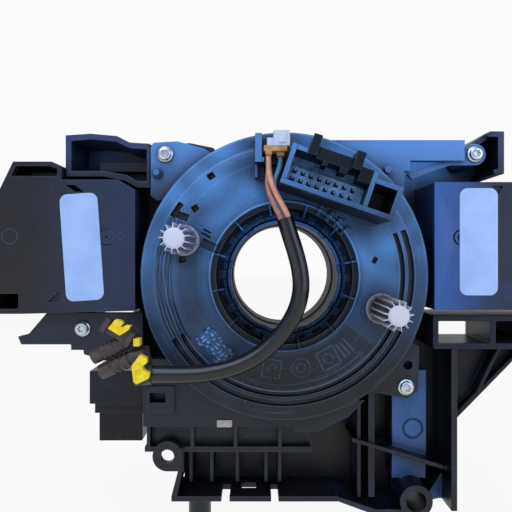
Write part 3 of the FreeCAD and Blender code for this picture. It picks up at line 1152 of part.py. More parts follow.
def right_channel(tools):
    """The lower right part: slope, two posts, slanting rib, pad, side wall and the ring-shaped boss."""
    front, wall, edge = d.cover_back, d.carrier_wall, d.right_edge
    rise = d.corner_z + wall
    slope = prism("lip_slope", [[
        (d.lip_right, d.lip_top), (d.lip_right, d.low_edge), (d.corner_x, d.corner_z), (d.ring_x, d.corner_z),
        (d.ring_x, rise), (d.corner_x + d.lip_slope_in, rise)]], d.lip_front, front)
    slant = prism("slant_rib", [[
        (d.slant_left_x, d.slant_left_z), (edge, d.slant_right_z), (edge, d.slant_right_z - d.slant_thick),
        (d.slant_left_x, d.slant_left_z - d.slant_thick)]], d.slant_front, front)
    foot = prism("side_foot", [[
        (d.foot_left, d.foot_low), (edge - d.foot_bend, d.side_low), (edge, d.side_low),
        (edge, d.side_low + d.foot_rise), (edge - d.side_wall, d.side_low + d.foot_rise),
        (edge - d.foot_thick, d.side_low + d.foot_rise / 2)]], d.pad_front, front)
    parts = [
        slope, slant, foot,
        rod("ring_boss", d.ring_r, d.ring_front, front, d.ring_x, 0, d.ring_z),
        block("post_a", (d.post_a_left, d.post_a_right), (d.post_front, front),
              (d.lip_top - wall, d.post_top)),
        block("post_b", (d.post_b_left, d.post_b_right), (d.post_front, front),
              (d.lip_top - wall, d.post_top)),
        block("pad", (d.pad_left, d.pad_right), (d.pad_front, front), (d.pad_low, d.pad_top)),
        tube("pad_ring", d.pad_ring_r, d.pad_ring_r - d.pad_ring_wall, d.pad_front - d.pad_ring_high,
             d.pad_front + d.pad_ring_high, d.pad_ring_x, 0, d.pad_ring_z),
        block("side_wall", (edge - d.side_wall, edge), (d.side_front, front), (d.side_low, d.frame_low)),
    ]
    body = fuse("channel_body", parts)
    return node("right_channel", cut("channel", body, [tools["ring"], tools["room"], boss_room("lr")]))


def right_holder():
    """The frame with two cells under the right switch, and the gusset that carries it."""
    front, frame = d.cover_back, d.frame_wall
    low = d.frame_low
    holder = prism("holder_frame", [
        rectangle(d.frame_left, d.frame_right, low, d.frame_top, d.frame_round),
        rectangle(d.frame_left + frame, d.frame_mid - frame, low + frame, d.frame_top - frame),
        rectangle(d.frame_mid, d.frame_right - frame, low + frame, d.frame_top - frame)], d.frame_front,
        front)
    edge, start, end_x = d.gusset_edge, d.gusset_front, d.gusset_x + d.gusset_end
    plate = prism("gusset", [[
        (d.right_edge, low + OVER), (d.right_edge, d.gusset_low_z - edge), (d.gusset_low_x, d.gusset_low_z),
        (d.gusset_x, d.gusset_z), (end_x, low), (end_x, low + OVER)]], start, start + d.gusset_thick)
    rim = prism("gusset_edge", [[
        (d.right_edge, d.gusset_low_z - edge), (d.gusset_low_x, d.gusset_low_z), (d.gusset_x, d.gusset_z),
        (end_x, low + OVER), (end_x - d.gusset_edge_wall, low + OVER), (d.gusset_x - edge, d.gusset_z),
        (d.right_edge, d.gusset_low_z + edge)]], start - d.gusset_edge_deep, front)
    rib = prism("gusset_rib", [[
        (d.gusset_rib_x, d.gusset_rib_z), (d.gusset_rib_x + d.gusset_rib_wall, d.gusset_rib_z),
        (d.gusset_rib_top_x + d.gusset_rib_wall, low + OVER), (d.gusset_rib_top_x, low + OVER)]],
        start - d.gusset_rib_deep, start + OVER)
    return node("right_holder", fuse("holder", [holder, plate, rim, rib]))


def lower_post():
    """The plain round post that stands down from the carrier's rear."""
    return node("lower_post", rod("lower_post", d.post_r, d.post_low, d.post_high, d.post_x, d.post_y, 0,
                                  "Z"))


def angle_sensor():
    """The steering angle sensor: a ring board seated on the collar's step, behind the slotted ring."""
    board_front = d.collar_step - d.sensor_thick
    board = tube("sensor_board", d.collar_entry_r, d.sensor_in_r, board_front, d.collar_step)
    chip_right = 0 - d.sensor_in_r - d.sensor_chip_in
    chip = block("sensor_chip", (chip_right - d.sensor_chip_wide, chip_right),
                 (board_front - d.sensor_chip, board_front),
                 (d.sensor_long / -2, d.sensor_long / 2))
    return node("angle_sensor", fuse("angle_sensor", [board, chip]))


def span(sign, near, far):
    """Two places on X, given as distances from the column axis, on the left or on the right."""
    near, far = as_size(near), as_size(far)
    return (near, far) if sign > 0 else (0 - far, 0 - near)


def mirrored(sign, points):
    """An outline on the left or on the right."""
    return [(x if sign > 0 else 0 - as_size(x), *rest) for x, *rest in points]


def left_outline():
    """The left box as the driver sees it."""
    return [
        (d.left_outer, d.left_slope_z), (d.left_outer, d.left_low_out), (d.left_low_bend, d.left_low_out),
        (d.left_inner, d.left_low), (d.left_inner, d.left_shoulder_z), (d.left_shoulder_x, d.left_top),
        (d.left_tower_in, d.left_top), (d.left_tower_in, d.left_tower_side),
        (d.left_tower_x, d.left_tower_top),
        (d.left_tower_out, d.left_tower_top),
    ]


def left_cavity():
    """The room inside the left box for the mechanism and the board."""
    wall, skew = d.box_wall, d.left_cavity_skew
    return [
        (d.left_outer + wall, d.left_slope_z - skew), (d.left_outer + wall, d.left_low_out + wall),
        (d.left_inner - wall, d.left_low + wall), (d.left_inner - wall, d.left_shoulder_z - skew),
        (d.left_shoulder_x - skew, d.left_top - wall),
        (d.left_tower_out - d.left_cavity_in, d.left_top - wall),
    ]


def right_outline():
    """The right box as the driver sees it."""
    return rectangle(d.right_inner, d.right_outer, d.right_low, d.right_top)


def right_cavity():
    """The room inside the right box."""
    wall = d.box_wall
    return rectangle(d.right_inner + wall, d.right_outer - wall, d.right_low + wall, d.right_top - wall)


def tower_recess(name):
    """The pocket in the tower at the top of the left box."""
    wall, floor = d.box_wall, d.left_top + d.tower_floor
    return prism("tower_recess_" + name, [[
        (d.left_tower_out - d.tower_edge, floor), (d.left_tower_in - wall, floor),
        (d.left_tower_in - wall, d.left_tower_side - d.tower_in),
        (d.left_tower_x - d.tower_skew, d.left_tower_top - wall),
        (d.left_tower_out + d.tower_out, d.left_tower_top - wall)]], d.box_front - OVER, d.tower_depth)


def contact_pins(side, sign, inner):
    """The switch's pins, the holes that they fill in the housing, and their slots in the board."""
    pins, holes, slots = [], [], []
    half = d.switch_pin / 2
    z = (d.switch_pin_z - half, d.switch_pin_z + half)
    wall_front = d.box_back - d.box_wall
    board_front = wall_front - d.board_thick
    for i in range(count(d.switch_pin_count)):
        step = d.switch_pin_pitch * (i - (d.switch_pin_count - 1) / 2)
        middle = sign * (d.shroud_in + d.shroud_long / 2 + step) + inner
        x = (middle - half, middle + half)
        pins.append(block("%s_pin_%d" % (side, i), x, (board_front, d.box_back + d.switch_pin_out), z))
        holes.append(block("%s_pin_hole_%d" % (side, i), x, (wall_front - OVER, d.box_back + OVER), z))
        slots.append(block("%s_board_slot_%d" % (side, i), x, (board_front - OVER, d.box_back), z))
    return pins, holes, slots


def switch_box(side, sign, pivot, outline, cavity, outer, inner):
    """The box of one switch: housing, front cover and contact board with its pins."""
    cover_back = d.box_front + d.box_cover
    wall, back = d.box_wall, d.box_back
    z = d.pivot_z
    pins, holes, slots = contact_pins(side, sign, inner)

    # housing: the outline without the cavity, with the stalk's opening, the detent track and the rear socket
    blank = prism(side + "_housing_blank", [outline], cover_back, back)
    room = prism(side + "_housing_room", [cavity], cover_back - OVER, back - wall)
    inside = sign * inner + wall
    track = block(side + "_track_blank", span(sign, inside - wall / 4,
                                              sign * pivot - d.plunger_tip + d.track_over),
                  (d.track_front, d.track_back), (z - d.track_half, z + d.track_half))
    track = cut(side + "_track", track, [rod(side + "_track_arc", d.track_r, d.track_front - OVER,
                                             d.track_back + OVER, pivot, 0, z)])
    near, far = d.shroud_in + sign * inner, d.shroud_in + d.shroud_long + sign * inner
    thin = d.shroud_wall
    shroud = block(side + "_shroud_blank", span(sign, near, far), (back - wall / 4, d.shroud_back),
                   (d.shroud_low, d.shroud_top))
    socket = block(side + "_socket", span(sign, near + thin, far - thin), (back, d.shroud_back + OVER),
                   (d.shroud_low + thin, d.shroud_top - thin))
    mouth = block(side + "_mouth", span(sign, sign * outer - wall - OVER, sign * outer + OVER),
                  (d.yoke_front + d.mouth_gap, d.yoke_back + d.mouth_gap),
                  (z - d.mouth_half_z, z + d.mouth_half_z))
    journal = rod(side + "_rear_journal", d.journal_r + d.journal_gap, back - wall - OVER,
                  back - wall + d.journal_in, pivot, 0, z)
    body = fuse(side + "_housing_body", [cut(side + "_housing_open", blank, [room]), track, shroud])
    tools = [socket, mouth, journal] + holes
    if side == "left":
        lug_front = d.arm_plate_front + d.arm_plate
        x = d.screw_ll_x
        lug = rod("left_lug", d.lug_r, lug_front, back, x, 0, d.screw_ll_z)
        lug_arm = block("left_lug_arm", (x - d.lug_r, x + d.lug_r), (lug_front, back),
                        (d.screw_ll_z, d.left_low + wall / 4))
        body = fuse("left_housing_with_lug", [body, lug, lug_arm])
        tools += [tower_recess("housing"), screw_hole("lug", x, d.screw_ll_z, d.arm_plate_front)]
    node(side + "_switch_housing", cut(side + "_housing", body, tools))

    # front cover, with the front journal's hole and its ring
    through = (d.box_front - OVER, cover_back + OVER)
    tools = [rod(side + "_front_journal", d.journal_r + d.journal_gap, *through, pivot, 0, z),
             tube(side + "_boss_ring", d.boss_ring_r, d.boss_ring_r - d.boss_ring_wide, d.box_front - OVER,
                  d.box_front + d.boss_ring_deep, pivot, 0, z)]
    shallow = (d.box_front - OVER, d.box_front + d.triangle_deep)
    if side == "left":
        tools += [
            tower_recess("cover"),
            block("left_corner_window", (d.left_outer - OVER, d.corner_right), through,
                  (d.corner_low, d.corner_high)),
            prism("left_cover_slot", [[
                (d.slot_left, d.slot_top), (d.slot_right, d.slot_top),
                (d.slot_right + d.slot_skew, d.slot_low),
                (d.slot_left + d.slot_skew, d.slot_low)]], *through),
            prism("left_cover_triangle", [[
                (d.triangle_left, d.triangle_low), (d.triangle_right, d.triangle_low),
                (d.triangle_right, d.triangle_top)]], *shallow),
        ]
    else:
        tools.append(prism("right_cover_triangle", [[
            (d.mark_left, d.mark_top), (d.mark_right, d.mark_top), (d.mark_tip, d.mark_low)]], *shallow))
    cover = prism(side + "_cover_blank", [outline], d.box_front, cover_back)
    node(side + "_switch_cover", cut(side + "_cover", cover, tools))

    # contact board and its pins
    board = block(side + "_board", span(sign, inside, sign * outer - d.board_end),
                  (back - wall - d.board_thick, back - wall), (d.board_low, d.board_top))
    node(side + "_contact_board", cut(side + "_contact_board", board, slots))
    node(side + "_terminals", held(side + "_terminal_set", *pins))


def label(side, x, z, angle):
    """A film label with round corners."""
    half, high = d.label_wide / 2, d.label_high / 2
    sheet_piece = prism(side + "_label_sheet", [rectangle(0 - half, half, 0 - high, high, d.label_round)],
                        d.box_front - d.label_thick, d.box_front)
    node(side + "_label", put(turn(held(side + "_label_set", sheet_piece), angle), x, 0, z))


def yoke(side, pivot):
    """A square ring with a journal at the front and at the back, and holes for the lever's own journals."""
    y, z = d.pivot_y, d.pivot_z
    half_x, half_z, wall = d.yoke_half_x, d.yoke_half_z, d.yoke_wall
    ring = block(side + "_yoke_blank", (pivot - half_x, pivot + half_x), (d.yoke_front, d.yoke_back),
                 (z - half_z, z + half_z))
    hollow = block(side + "_yoke_room", (pivot - half_x - OVER, pivot + half_x + OVER),
                   (d.yoke_front + wall, d.yoke_back - wall), (z - half_z + wall, z + half_z - wall))
    cross = rod(side + "_yoke_cross", d.journal_r + d.journal_gap, z - half_z - OVER, z + half_z + OVER,
                pivot, y, 0, "Z")
    front = rod(side + "_yoke_front", d.journal_r, d.box_front + d.journal_step, d.yoke_front, pivot, 0, z)
    back = rod(side + "_yoke_back", d.journal_r, d.yoke_back,
               d.box_back - d.box_wall + d.journal_in - d.journal_end, pivot, 0, z)
    opened = cut(side + "_yoke_ring", ring, [hollow, cross])
    node(side + "_pivot_yoke", fuse(side + "_yoke", [opened, front, back]))


def stalk(side, sign, pivot):
    """The lever of one switch, with its yoke, detent, grip and end button."""
    y, z = d.pivot_y, d.pivot_z
    reach = sign * pivot        # how far the pivot is from the column axis
    yoke(side, pivot)

    def along(name, radius, near, far):
        return rod(side + name, radius, *span(sign, near, far), y=y, z=z, along="X")

    # lever: hub with cross journals, neck to the outside, core for the grip, tail for the detent
    axle = d.yoke_half_z - d.axle_end
    pieces = [
        rod(side + "_lever_hub", d.hub_r, z - d.hub_half, z + d.hub_half, pivot, y, 0, "Z"),
        rod(side + "_lever_axle", d.journal_r, z - axle, z + axle, pivot, y, 0, "Z"),
        along("_lever_neck", d.neck_r, reach, d.neck_end),
        along("_lever_core", d.core_r, d.neck_end, d.core_end),
        along("_lever_tail", d.tail_r, reach - d.tail_end, reach),
    ]
    bore = along("_plunger_bore", d.plunger_r + d.plunger_gap, reach - d.tail_end - OVER,
                 reach - d.spring_start)
    node(side + "_lever", cut(side + "_lever", fuse(side + "_lever_body", pieces), [bore]))

    # detent plunger and its spring
    plunger = along("_plunger", d.plunger_r, reach - d.plunger_tip, reach - d.plunger_back)
    node(side + "_detent_plunger", plunger)
    node(side + "_detent_spring", feature(side + "_detent_spring", coil(
        sign, reach - d.plunger_back, reach - d.spring_start, d.spring_r, d.spring_wire, d.spring_turns)))

    # grip: one piece on the left, two pieces with the dial between them on the right
    button_floor = d.grip_end - d.button_stop
    button_hole = d.button_r + d.button_gap
    swell = [(d.grip_swell_x, d.grip_swell_r), (d.grip_mid_x, d.grip_mid_r)]
    tip_outline = [(d.grip_end - d.grip_round, d.grip_tip_r), (d.grip_end, d.grip_tip_r - d.grip_round),
                   (d.grip_end, button_hole), (button_floor, button_hole), (button_floor, 0), (d.core_end, 0)]
    root = [(d.neck_end, d.core_r), (d.neck_end, d.grip_root_r)]
    if side == "left":
        outline = [(d.core_end, d.core_r)] + root + swell + tip_outline
        node("left_grip", put(turned("left_grip", mirrored(sign, outline), "X"), 0, y, z))
    else:
        inner = [(d.dial_in, d.core_r)] + root + [swell[0], (d.dial_in, d.grip_swell_r)]
        outer = [(d.core_end, d.core_r), (d.dial_out, d.core_r), (d.dial_out, d.grip_mid_r),
                 swell[1]] + tip_outline
        node("right_grip_inner", put(turned("right_grip_inner", inner, "X"), 0, y, z))
        node("right_grip_outer", put(turned("right_grip_outer", outer, "X"), 0, y, z))
        interval_dial()

    # end button and its spring
    button = along("_button", d.button_r, d.grip_end - d.button_in, d.grip_end + d.button_proud)
    node(side + "_end_button", button)
    node(side + "_button_spring", feature(side + "_button_spring", coil(
        sign, button_floor, d.grip_end - d.button_in, d.button_spring_r, d.button_spring_wire,
        d.button_spring_turns)))


def interval_dial():
    """The ribbed ring on the right stalk that sets the wiper's interval."""
    start, end = d.dial_in + d.dial_gap, d.dial_out - d.dial_gap
    ring = tube("dial_ring", d.dial_r - d.dial_rib, d.core_r + d.dial_play, start, end, 0, 0, 0, "X")
    ribs = []
    for i in range(count(d.dial_rib_count)):
        rib = block("dial_rib_%d" % i, (start + d.dial_rib_in, end - d.dial_rib_in),
                    (d.dial_rib_wide / -2, d.dial_rib_wide / 2),
                    (d.dial_r - d.dial_rib - d.dial_rib_root, d.dial_r))
        angle = 360 / d.dial_rib_count * i + d.dial_rib_turn
        ribs.append(turn(held("dial_rib_set_%d" % i, rib), angle, V(1, 0, 0)))
    node("right_interval_dial", put(fuse("dial", [ring] + ribs), 0, d.pivot_y, d.pivot_z))


def coil(sign, near, far, radius, wire, turns):
    """A coil spring along X between two distances from the column axis."""
    near, far, radius, wire, turns = (float(size) for size in (near, far, radius, wire, turns))
    room = far - near - 2 * wire
    helix = Part.makeHelix(room / turns, room, radius)
    ring = Part.Wire([Part.Circle(V(radius, 0, 0), V(0, 1, 0), wire).toShape()])
    spring = Part.Wire(helix.Edges).makePipeShell([ring], True, True)
    spring.Placement = FreeCAD.Placement(V(near + wire, 0, 0), FreeCAD.Rotation(V(0, 1, 0), 90))
    if sign < 0:
        spring = spring.mirror(V(), V(1, 0, 0))
    spring.translate(V(0, float(d.pivot_y), float(d.pivot_z)))
    return spring


def module_outline(inset):
    """The stepped outline of the electronics box, moved inwards by an inset."""
    left, right, top = d.module_left + inset, d.module_right - inset, d.module_top - inset
    two_left, two_low = d.module_two_left + inset, d.module_two_low + inset
    three_left, three_right = d.module_three_left + inset, d.module_three_right - inset
    low, step = d.module_three_low + inset, d.module_step + inset
    return [(left, top), (left, step), (two_left, step), (two_left, two_low), (three_left, two_low),
            (three_left, low), (three_right, low), (three_right, two_low), (right, two_low), (right, top)]


def control_module():
    """The stepped electronics box at the lower left: housing, rear lid, board and socket pins."""
    back, wall, front = d.module_back, d.module_wall, d.module_front
    lid_front = back - d.module_lid
    shell = prism("module_blank", [module_outline(Size(0))], front, lid_front)
    step_two = block("module_tier_two", (d.module_two_left - OVER, d.module_right + OVER),
                     (front - OVER, front + d.module_two_set), (d.module_two_low - OVER, d.module_step))
    step_three = block("module_tier_three", (d.module_three_left - OVER, d.module_three_right + OVER),
                       (front - OVER, front + d.module_three_set),
                       (d.module_three_low - OVER, d.module_two_low))
    inside = prism("module_room", [module_outline(wall)], front + d.module_three_set + wall, lid_front + OVER)
    node("module_housing", cut("module_housing", shell, [step_two, step_three, inside]))

    pin_z = (d.module_top + d.module_step) / 2
    middle = (d.module_left + d.module_right) / 2
    half = d.module_pin / 2
    z = (pin_z - half, pin_z + half)
    pins, holes = [], []
    for i in range(count(d.module_pin_count)):
        x = middle + d.module_pin_pitch * (i - (d.module_pin_count - 1) / 2)
        x = (x - half, x + half)
        pins.append(block("module_pin_%d" % i, x, (d.module_board_y, back + d.module_pin_out), z))
        holes.append(block("module_pin_hole_%d" % i, x, (d.module_board_y - OVER, back + OVER), z))
    reach = d.module_pin_pitch * (d.module_pin_count + 2) / 2
    low, high = pin_z - d.module_socket_half, pin_z + d.module_socket_half
    socket = block("module_socket_blank", (middle - reach, middle + reach),
                   (back - wall, back + d.module_socket),
                   (low, high))
    socket_room = block("module_socket_room", (middle - reach + wall, middle + reach - wall),
                        (back, back + d.module_socket + OVER), (low + wall, high - wall))
    lid_plate = prism("module_lid_plate", [module_outline(Size(0))], lid_front, back)
    node("module_lid", cut("module_lid", fuse("module_lid_body", [lid_plate, socket]), [socket_room] + holes))
    board = block("module_board_blank", (d.module_left + wall, d.module_right - wall),
                  (d.module_board_y, d.module_board_y + d.board_thick),
                  (d.module_step + wall, d.module_top - wall))
    node("module_board", cut("module_board", board, holes))
    node("module_terminals", held("module_terminal_set", *pins))


def build():
    """All pieces, from the turning disc outwards."""
    rotor_disc()
    rotor_hub()
    angle_code_ring()
    drive_pin("left", d.pin_left_x, d.pin_left_z)
    drive_pin("right", d.pin_right_x, d.pin_right_z)
    connector_header()
    connector_terminals()
    lead_plug()
    airbag_lead()
    squib_plug("upper", d.upper_x, d.upper_z, d.upper_turn, d.upper_barrel_x, d.upper_barrel_z,
               d.upper_barrel_long)
    squib_plug("lower", d.lower_x, d.lower_z, d.lower_turn, d.lower_barrel_x, d.lower_barrel_z,
               d.lower_barrel_long)
    squib_lock("upper", d.upper_x, d.upper_z, d.upper_turn)
    squib_lock("lower", d.lower_x, d.lower_z, d.lower_turn)
    stator()
    stator_rear_cover()
    ribbon_coil()
    angle_sensor()
    mounting_screws()
    tools = carrier_tools()
    carrier_bracket(tools)
    column_collar()
    upper_pocket(tools)
    right_hook()
    left_arm(tools)
    lower_tray(tools)
    right_channel(tools)
    right_holder()
    lower_post()
    switch_box("left", -1, d.pivot_left_x, left_outline(), left_cavity(), d.left_outer, d.left_inner)
    switch_box("right", 1, d.pivot_right_x, right_outline(), right_cavity(), d.right_outer, d.right_inner)
    label("left", d.left_label_x, d.left_label_z, d.left_label_turn)
    label("right", d.right_label_x, d.right_label_z, 0)
    stalk("left", -1, d.pivot_left_x)
    stalk("right", 1, d.pivot_right_x)
    control_module()


build()
doc.recompute()

for thing in doc.Objects:
    if {"Invalid", "Error"} & set(thing.State):
        raise RuntimeError("%s did not compute: %s" % (thing.Name, thing.State))
for piece in NODES:
    if piece.Shape.isNull() or not piece.Shape.isValid() or not piece.Shape.Solids:
        raise RuntimeError("%s has no sound solid" % piece.Label)

os.makedirs("parts", exist_ok=True)
for piece in NODES:
    piece.Shape.exportStep("parts/%s.step" % piece.Label)
    print("%-24s %d solids, %9.1f cubic mm" % (piece.Label, len(piece.Shape.Solids), piece.Shape.Volume))
print(len(NODES), "nodes")
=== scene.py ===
# %% [markdown]
# # A steering-column switch, dressed piece by piece
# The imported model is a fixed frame: every piece below sits on it and moves with one of its bodies. Lengths
# are written in millimetres and turned to metres where a mesh is made. X runs to the driver's right, Y away
# from the driver, Z up, and the turning disc's face is at Y = 0.

import json
import math

import bmesh
import bpy
import numpy as np
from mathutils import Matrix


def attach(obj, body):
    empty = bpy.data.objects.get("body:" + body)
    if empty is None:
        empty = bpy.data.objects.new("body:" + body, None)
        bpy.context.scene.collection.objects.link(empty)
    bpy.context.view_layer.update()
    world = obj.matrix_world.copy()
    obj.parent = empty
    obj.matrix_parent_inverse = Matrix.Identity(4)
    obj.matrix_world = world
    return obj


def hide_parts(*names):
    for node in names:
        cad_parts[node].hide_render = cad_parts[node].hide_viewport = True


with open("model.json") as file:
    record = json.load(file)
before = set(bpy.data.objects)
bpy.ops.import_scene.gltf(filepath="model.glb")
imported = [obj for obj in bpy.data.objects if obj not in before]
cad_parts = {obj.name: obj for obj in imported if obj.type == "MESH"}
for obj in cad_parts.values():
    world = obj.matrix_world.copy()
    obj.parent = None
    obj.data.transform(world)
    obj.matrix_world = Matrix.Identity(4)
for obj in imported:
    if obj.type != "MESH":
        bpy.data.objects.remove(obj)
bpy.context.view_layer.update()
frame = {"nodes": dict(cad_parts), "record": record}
NODES = frame["nodes"]
BODY_OF = {node: body for body, members in frame["record"]["behaviour"]["bodies"].items() for node in members}
MM = 0.001
TAU = 2 * math.pi

# %% [markdown]
# ## Camera
# The photograph was taken close up and level, straight along the column, so near parts look clearly larger.
# A camera close to the part with a short lens gives the same perspective, which a distant one can't.

# %% Camera
CAMERA_PLACE = (-11.69, -200.0, 8.32)
SENSOR, LENS = 36.0, 34.31      # millimetres
NEAR, FAR = 0.01, 20.0          # metres


def placed(name, data):
    """A new object in the scene."""
    made = bpy.data.objects.new(name, data)
    bpy.context.scene.collection.objects.link(made)
    return made


lens = bpy.data.cameras.new("camera")
lens.sensor_width, lens.lens = SENSOR, LENS
lens.clip_start, lens.clip_end = NEAR, FAR
camera = placed("camera", lens)
camera.location = [v * MM for v in CAMERA_PLACE]
camera.rotation_euler = (math.pi / 2, 0, 0)
bpy.context.scene.camera = camera
bpy.context.scene.view_settings.view_transform = "Standard"
print("camera:", CAMERA_PLACE, "lens", LENS)

# %% [markdown]
# ## Colours and shader nodes
# Colours are written as they look on a screen. A shader wants them linear, so one function converts them.
# One more function adds a node, sets its values and links its inputs. Every finish below is built with
# these two.


# %% Colour and node helpers
def linear(code):
    """Each channel v becomes v / 12.92 up to 0.04045, and ((v + 0.055) / 1.055) to the power 2.4 above it."""
    values = [int(code[i:i + 2], 16) / 255 for i in (1, 3, 5)]
    return tuple(v / 12.92 if v <= 0.04045 else ((v + 0.055) / 1.055) ** 2.4 for v in values) + (1.0,)


def add(tree, kind, inputs=None, **settings):
    """Adds a node. An input is given a number, a colour, a node's socket, or a node for its first output."""
    made = tree.nodes.new("ShaderNode" + kind)
    for name, value in settings.items():
        setattr(made, name, value)
    for name, value in (inputs or {}).items():
        socket = made.inputs[name]
        if isinstance(value, bpy.types.ShaderNode):
            value = value.outputs[0]
        if isinstance(value, bpy.types.NodeSocket):
            tree.links.new(value, socket)
        else:
            socket.default_value = value
    return made


MIX_A, MIX_B, MIX_OUT = 6, 7, 2      # the colour sockets of a Mix node


def empty_tree(owner):
    """A material's or world's node tree with nothing in it."""
    owner.use_nodes = True
    owner.node_tree.nodes.clear()
    return owner.node_tree


def new_finish(name, **shader_values):
    """A material with its shader, and the socket that gives a point's place on the object."""
    finish = bpy.data.materials.new(name)
    tree = empty_tree(finish)
    shader = add(tree, "BsdfPrincipled",
                 {key.replace("_", " "): value for key, value in shader_values.items()})
    add(tree, "OutputMaterial", {"Surface": shader.outputs["BSDF"]})
    return finish, tree, shader, add(tree, "TexCoord").outputs["Object"]


def join(tree, share, first, second):
    """A colour between two, by a share from 0 to 1."""
    return add(tree, "Mix", {0: share, MIX_A: first, MIX_B: second}, data_type="RGBA").outputs[MIX_OUT]


def bumped(tree, shader, height, depth):
    """Gives the shader a bump from a height, whose full range stands for a depth in millimetres."""
    bump = add(tree, "Bump", {"Height": height, "Distance": depth * MM})
    tree.links.new(bump.outputs["Normal"], shader.inputs["Normal"])


print("mid grey in linear light:", round(linear("#808080")[0], 3))

# %% [markdown]
# ## Moulded plastic
# Nearly all of the part is glass-filled polyamide, injection moulded in black. Its satin skin picks up the
# sky, so it reads as steel blue high up and nearly black low down. The finish paints that sky reflection and
# shade into its colour: it mixes two tones by height, lets a slow cloud move the border between them as
# handling and mould release do, and adds a fine grain.
# The grain of a real tool is about 0.1 mm. It is drawn at 0.7 mm, the finest that shows in the picture.


# %% Moulded plastic
GRAIN = 0.7                 # mm between grains
CLOUD = 17.0                # mm across a patch of another tone
DUST = 1.1                  # mm across a speck
DUST_FROM, DUST_FULL, DUST_SHARE = 0.70, 0.78, 0.12     # how rare and how faint the specks are
EDGE = 0.45                 # mm, half the width of the painted highlight and wear line on an edge
EDGE_FROM, EDGE_FULL, EDGE_SHARE = 0.985, 0.75, 0.55    # how far an edge turns before it takes the painted highlight and wear
HOLLOW = 9.0                # mm, how far a wall still casts painted shade into a recess
HOLLOW_POWER = 2.2          # how fast the painted shade of a recess darkens
SIDE_FROM, SIDE_FULL = -0.2, -0.9   # how far a wall faces the driver before its painted shade ends and it has its full tone
SCRATCH_GAP = 0.9           # mm between turned scratches
SCRATCH_TURNS = 2.2         # how often a scratch breaks off round the circle
SCRATCH_FROM, SCRATCH_FULL = 0.60, 0.72
DUST_TONE, SCRATCH_TONE = "#7f93b4", "#5c7296"
print("grain", GRAIN, "mm, drawn; cloud", CLOUD, "mm")


# %% Painted recess shade, painted edge highlights with wear, and turned scratches
def painted_recess_shade(tree, colour, deep):
    """Paints shade into a colour where walls stand close: recesses darken towards the deep tone."""
    open_share = add(tree, "AmbientOcclusion", {"Distance": HOLLOW * MM}, samples=6).outputs["AO"]
    eased = add(tree, "Math", {0: open_share, 1: HOLLOW_POWER}, operation="POWER")
    return join(tree, eased, linear(deep), colour), eased


def painted_edge_highlight_and_wear(tree, colour, rim, open_share):
    """Paints a thin highlight along open edges, which stands for wear by handling too: where a rounded normal
    turns away.
    """
    plain = add(tree, "NewGeometry").outputs["Normal"]
    rounded = add(tree, "Bevel", {"Radius": EDGE * MM}, samples=4).outputs["Normal"]
    same = add(tree, "VectorMath", {0: plain, 1: rounded}, operation="DOT_PRODUCT").outputs["Value"]
    worn = add(tree, "MapRange", {"Value": same, "From Min": EDGE_FROM, "From Max": EDGE_FULL,
                                  "To Max": EDGE_SHARE})
    part = add(tree, "Math", {0: worn, 1: open_share}, operation="MULTIPLY")
    return join(tree, part, colour, linear(rim))


def scratched(tree, parts, colour, height, share):
    """Noise over radius and angle instead of X and Z gives broken lines round the column axis."""
    flat = add(tree, "CombineXYZ", {"X": parts.outputs["X"], "Y": parts.outputs["Z"]})
    radius = add(tree, "VectorMath", {0: flat}, operation="LENGTH").outputs["Value"]
    angle = add(tree, "Math", {0: parts.outputs["Z"], 1: parts.outputs["X"]}, operation="ARCTAN2")
    across = add(tree, "Math", {0: radius, 1: 1 / (SCRATCH_GAP * MM)}, operation="MULTIPLY")
    along = add(tree, "Math", {0: angle, 1: SCRATCH_TURNS}, operation="MULTIPLY")
    turned = add(tree, "CombineXYZ", {"X": across, "Y": along})
    scratch = add(tree, "TexNoise", {"Vector": turned, "Scale": 1.0, "Detail": 3.0}).outputs["Fac"]
    thin = add(tree, "MapRange", {"Value": scratch, "From Min": SCRATCH_FROM, "From Max": SCRATCH_FULL})
    part = add(tree, "Math", {0: thin, 1: share}, operation="MULTIPLY")
    raised = add(tree, "Math", {0: height, 1: thin}, operation="ADD")
    return join(tree, part, colour, linear(SCRATCH_TONE)), raised


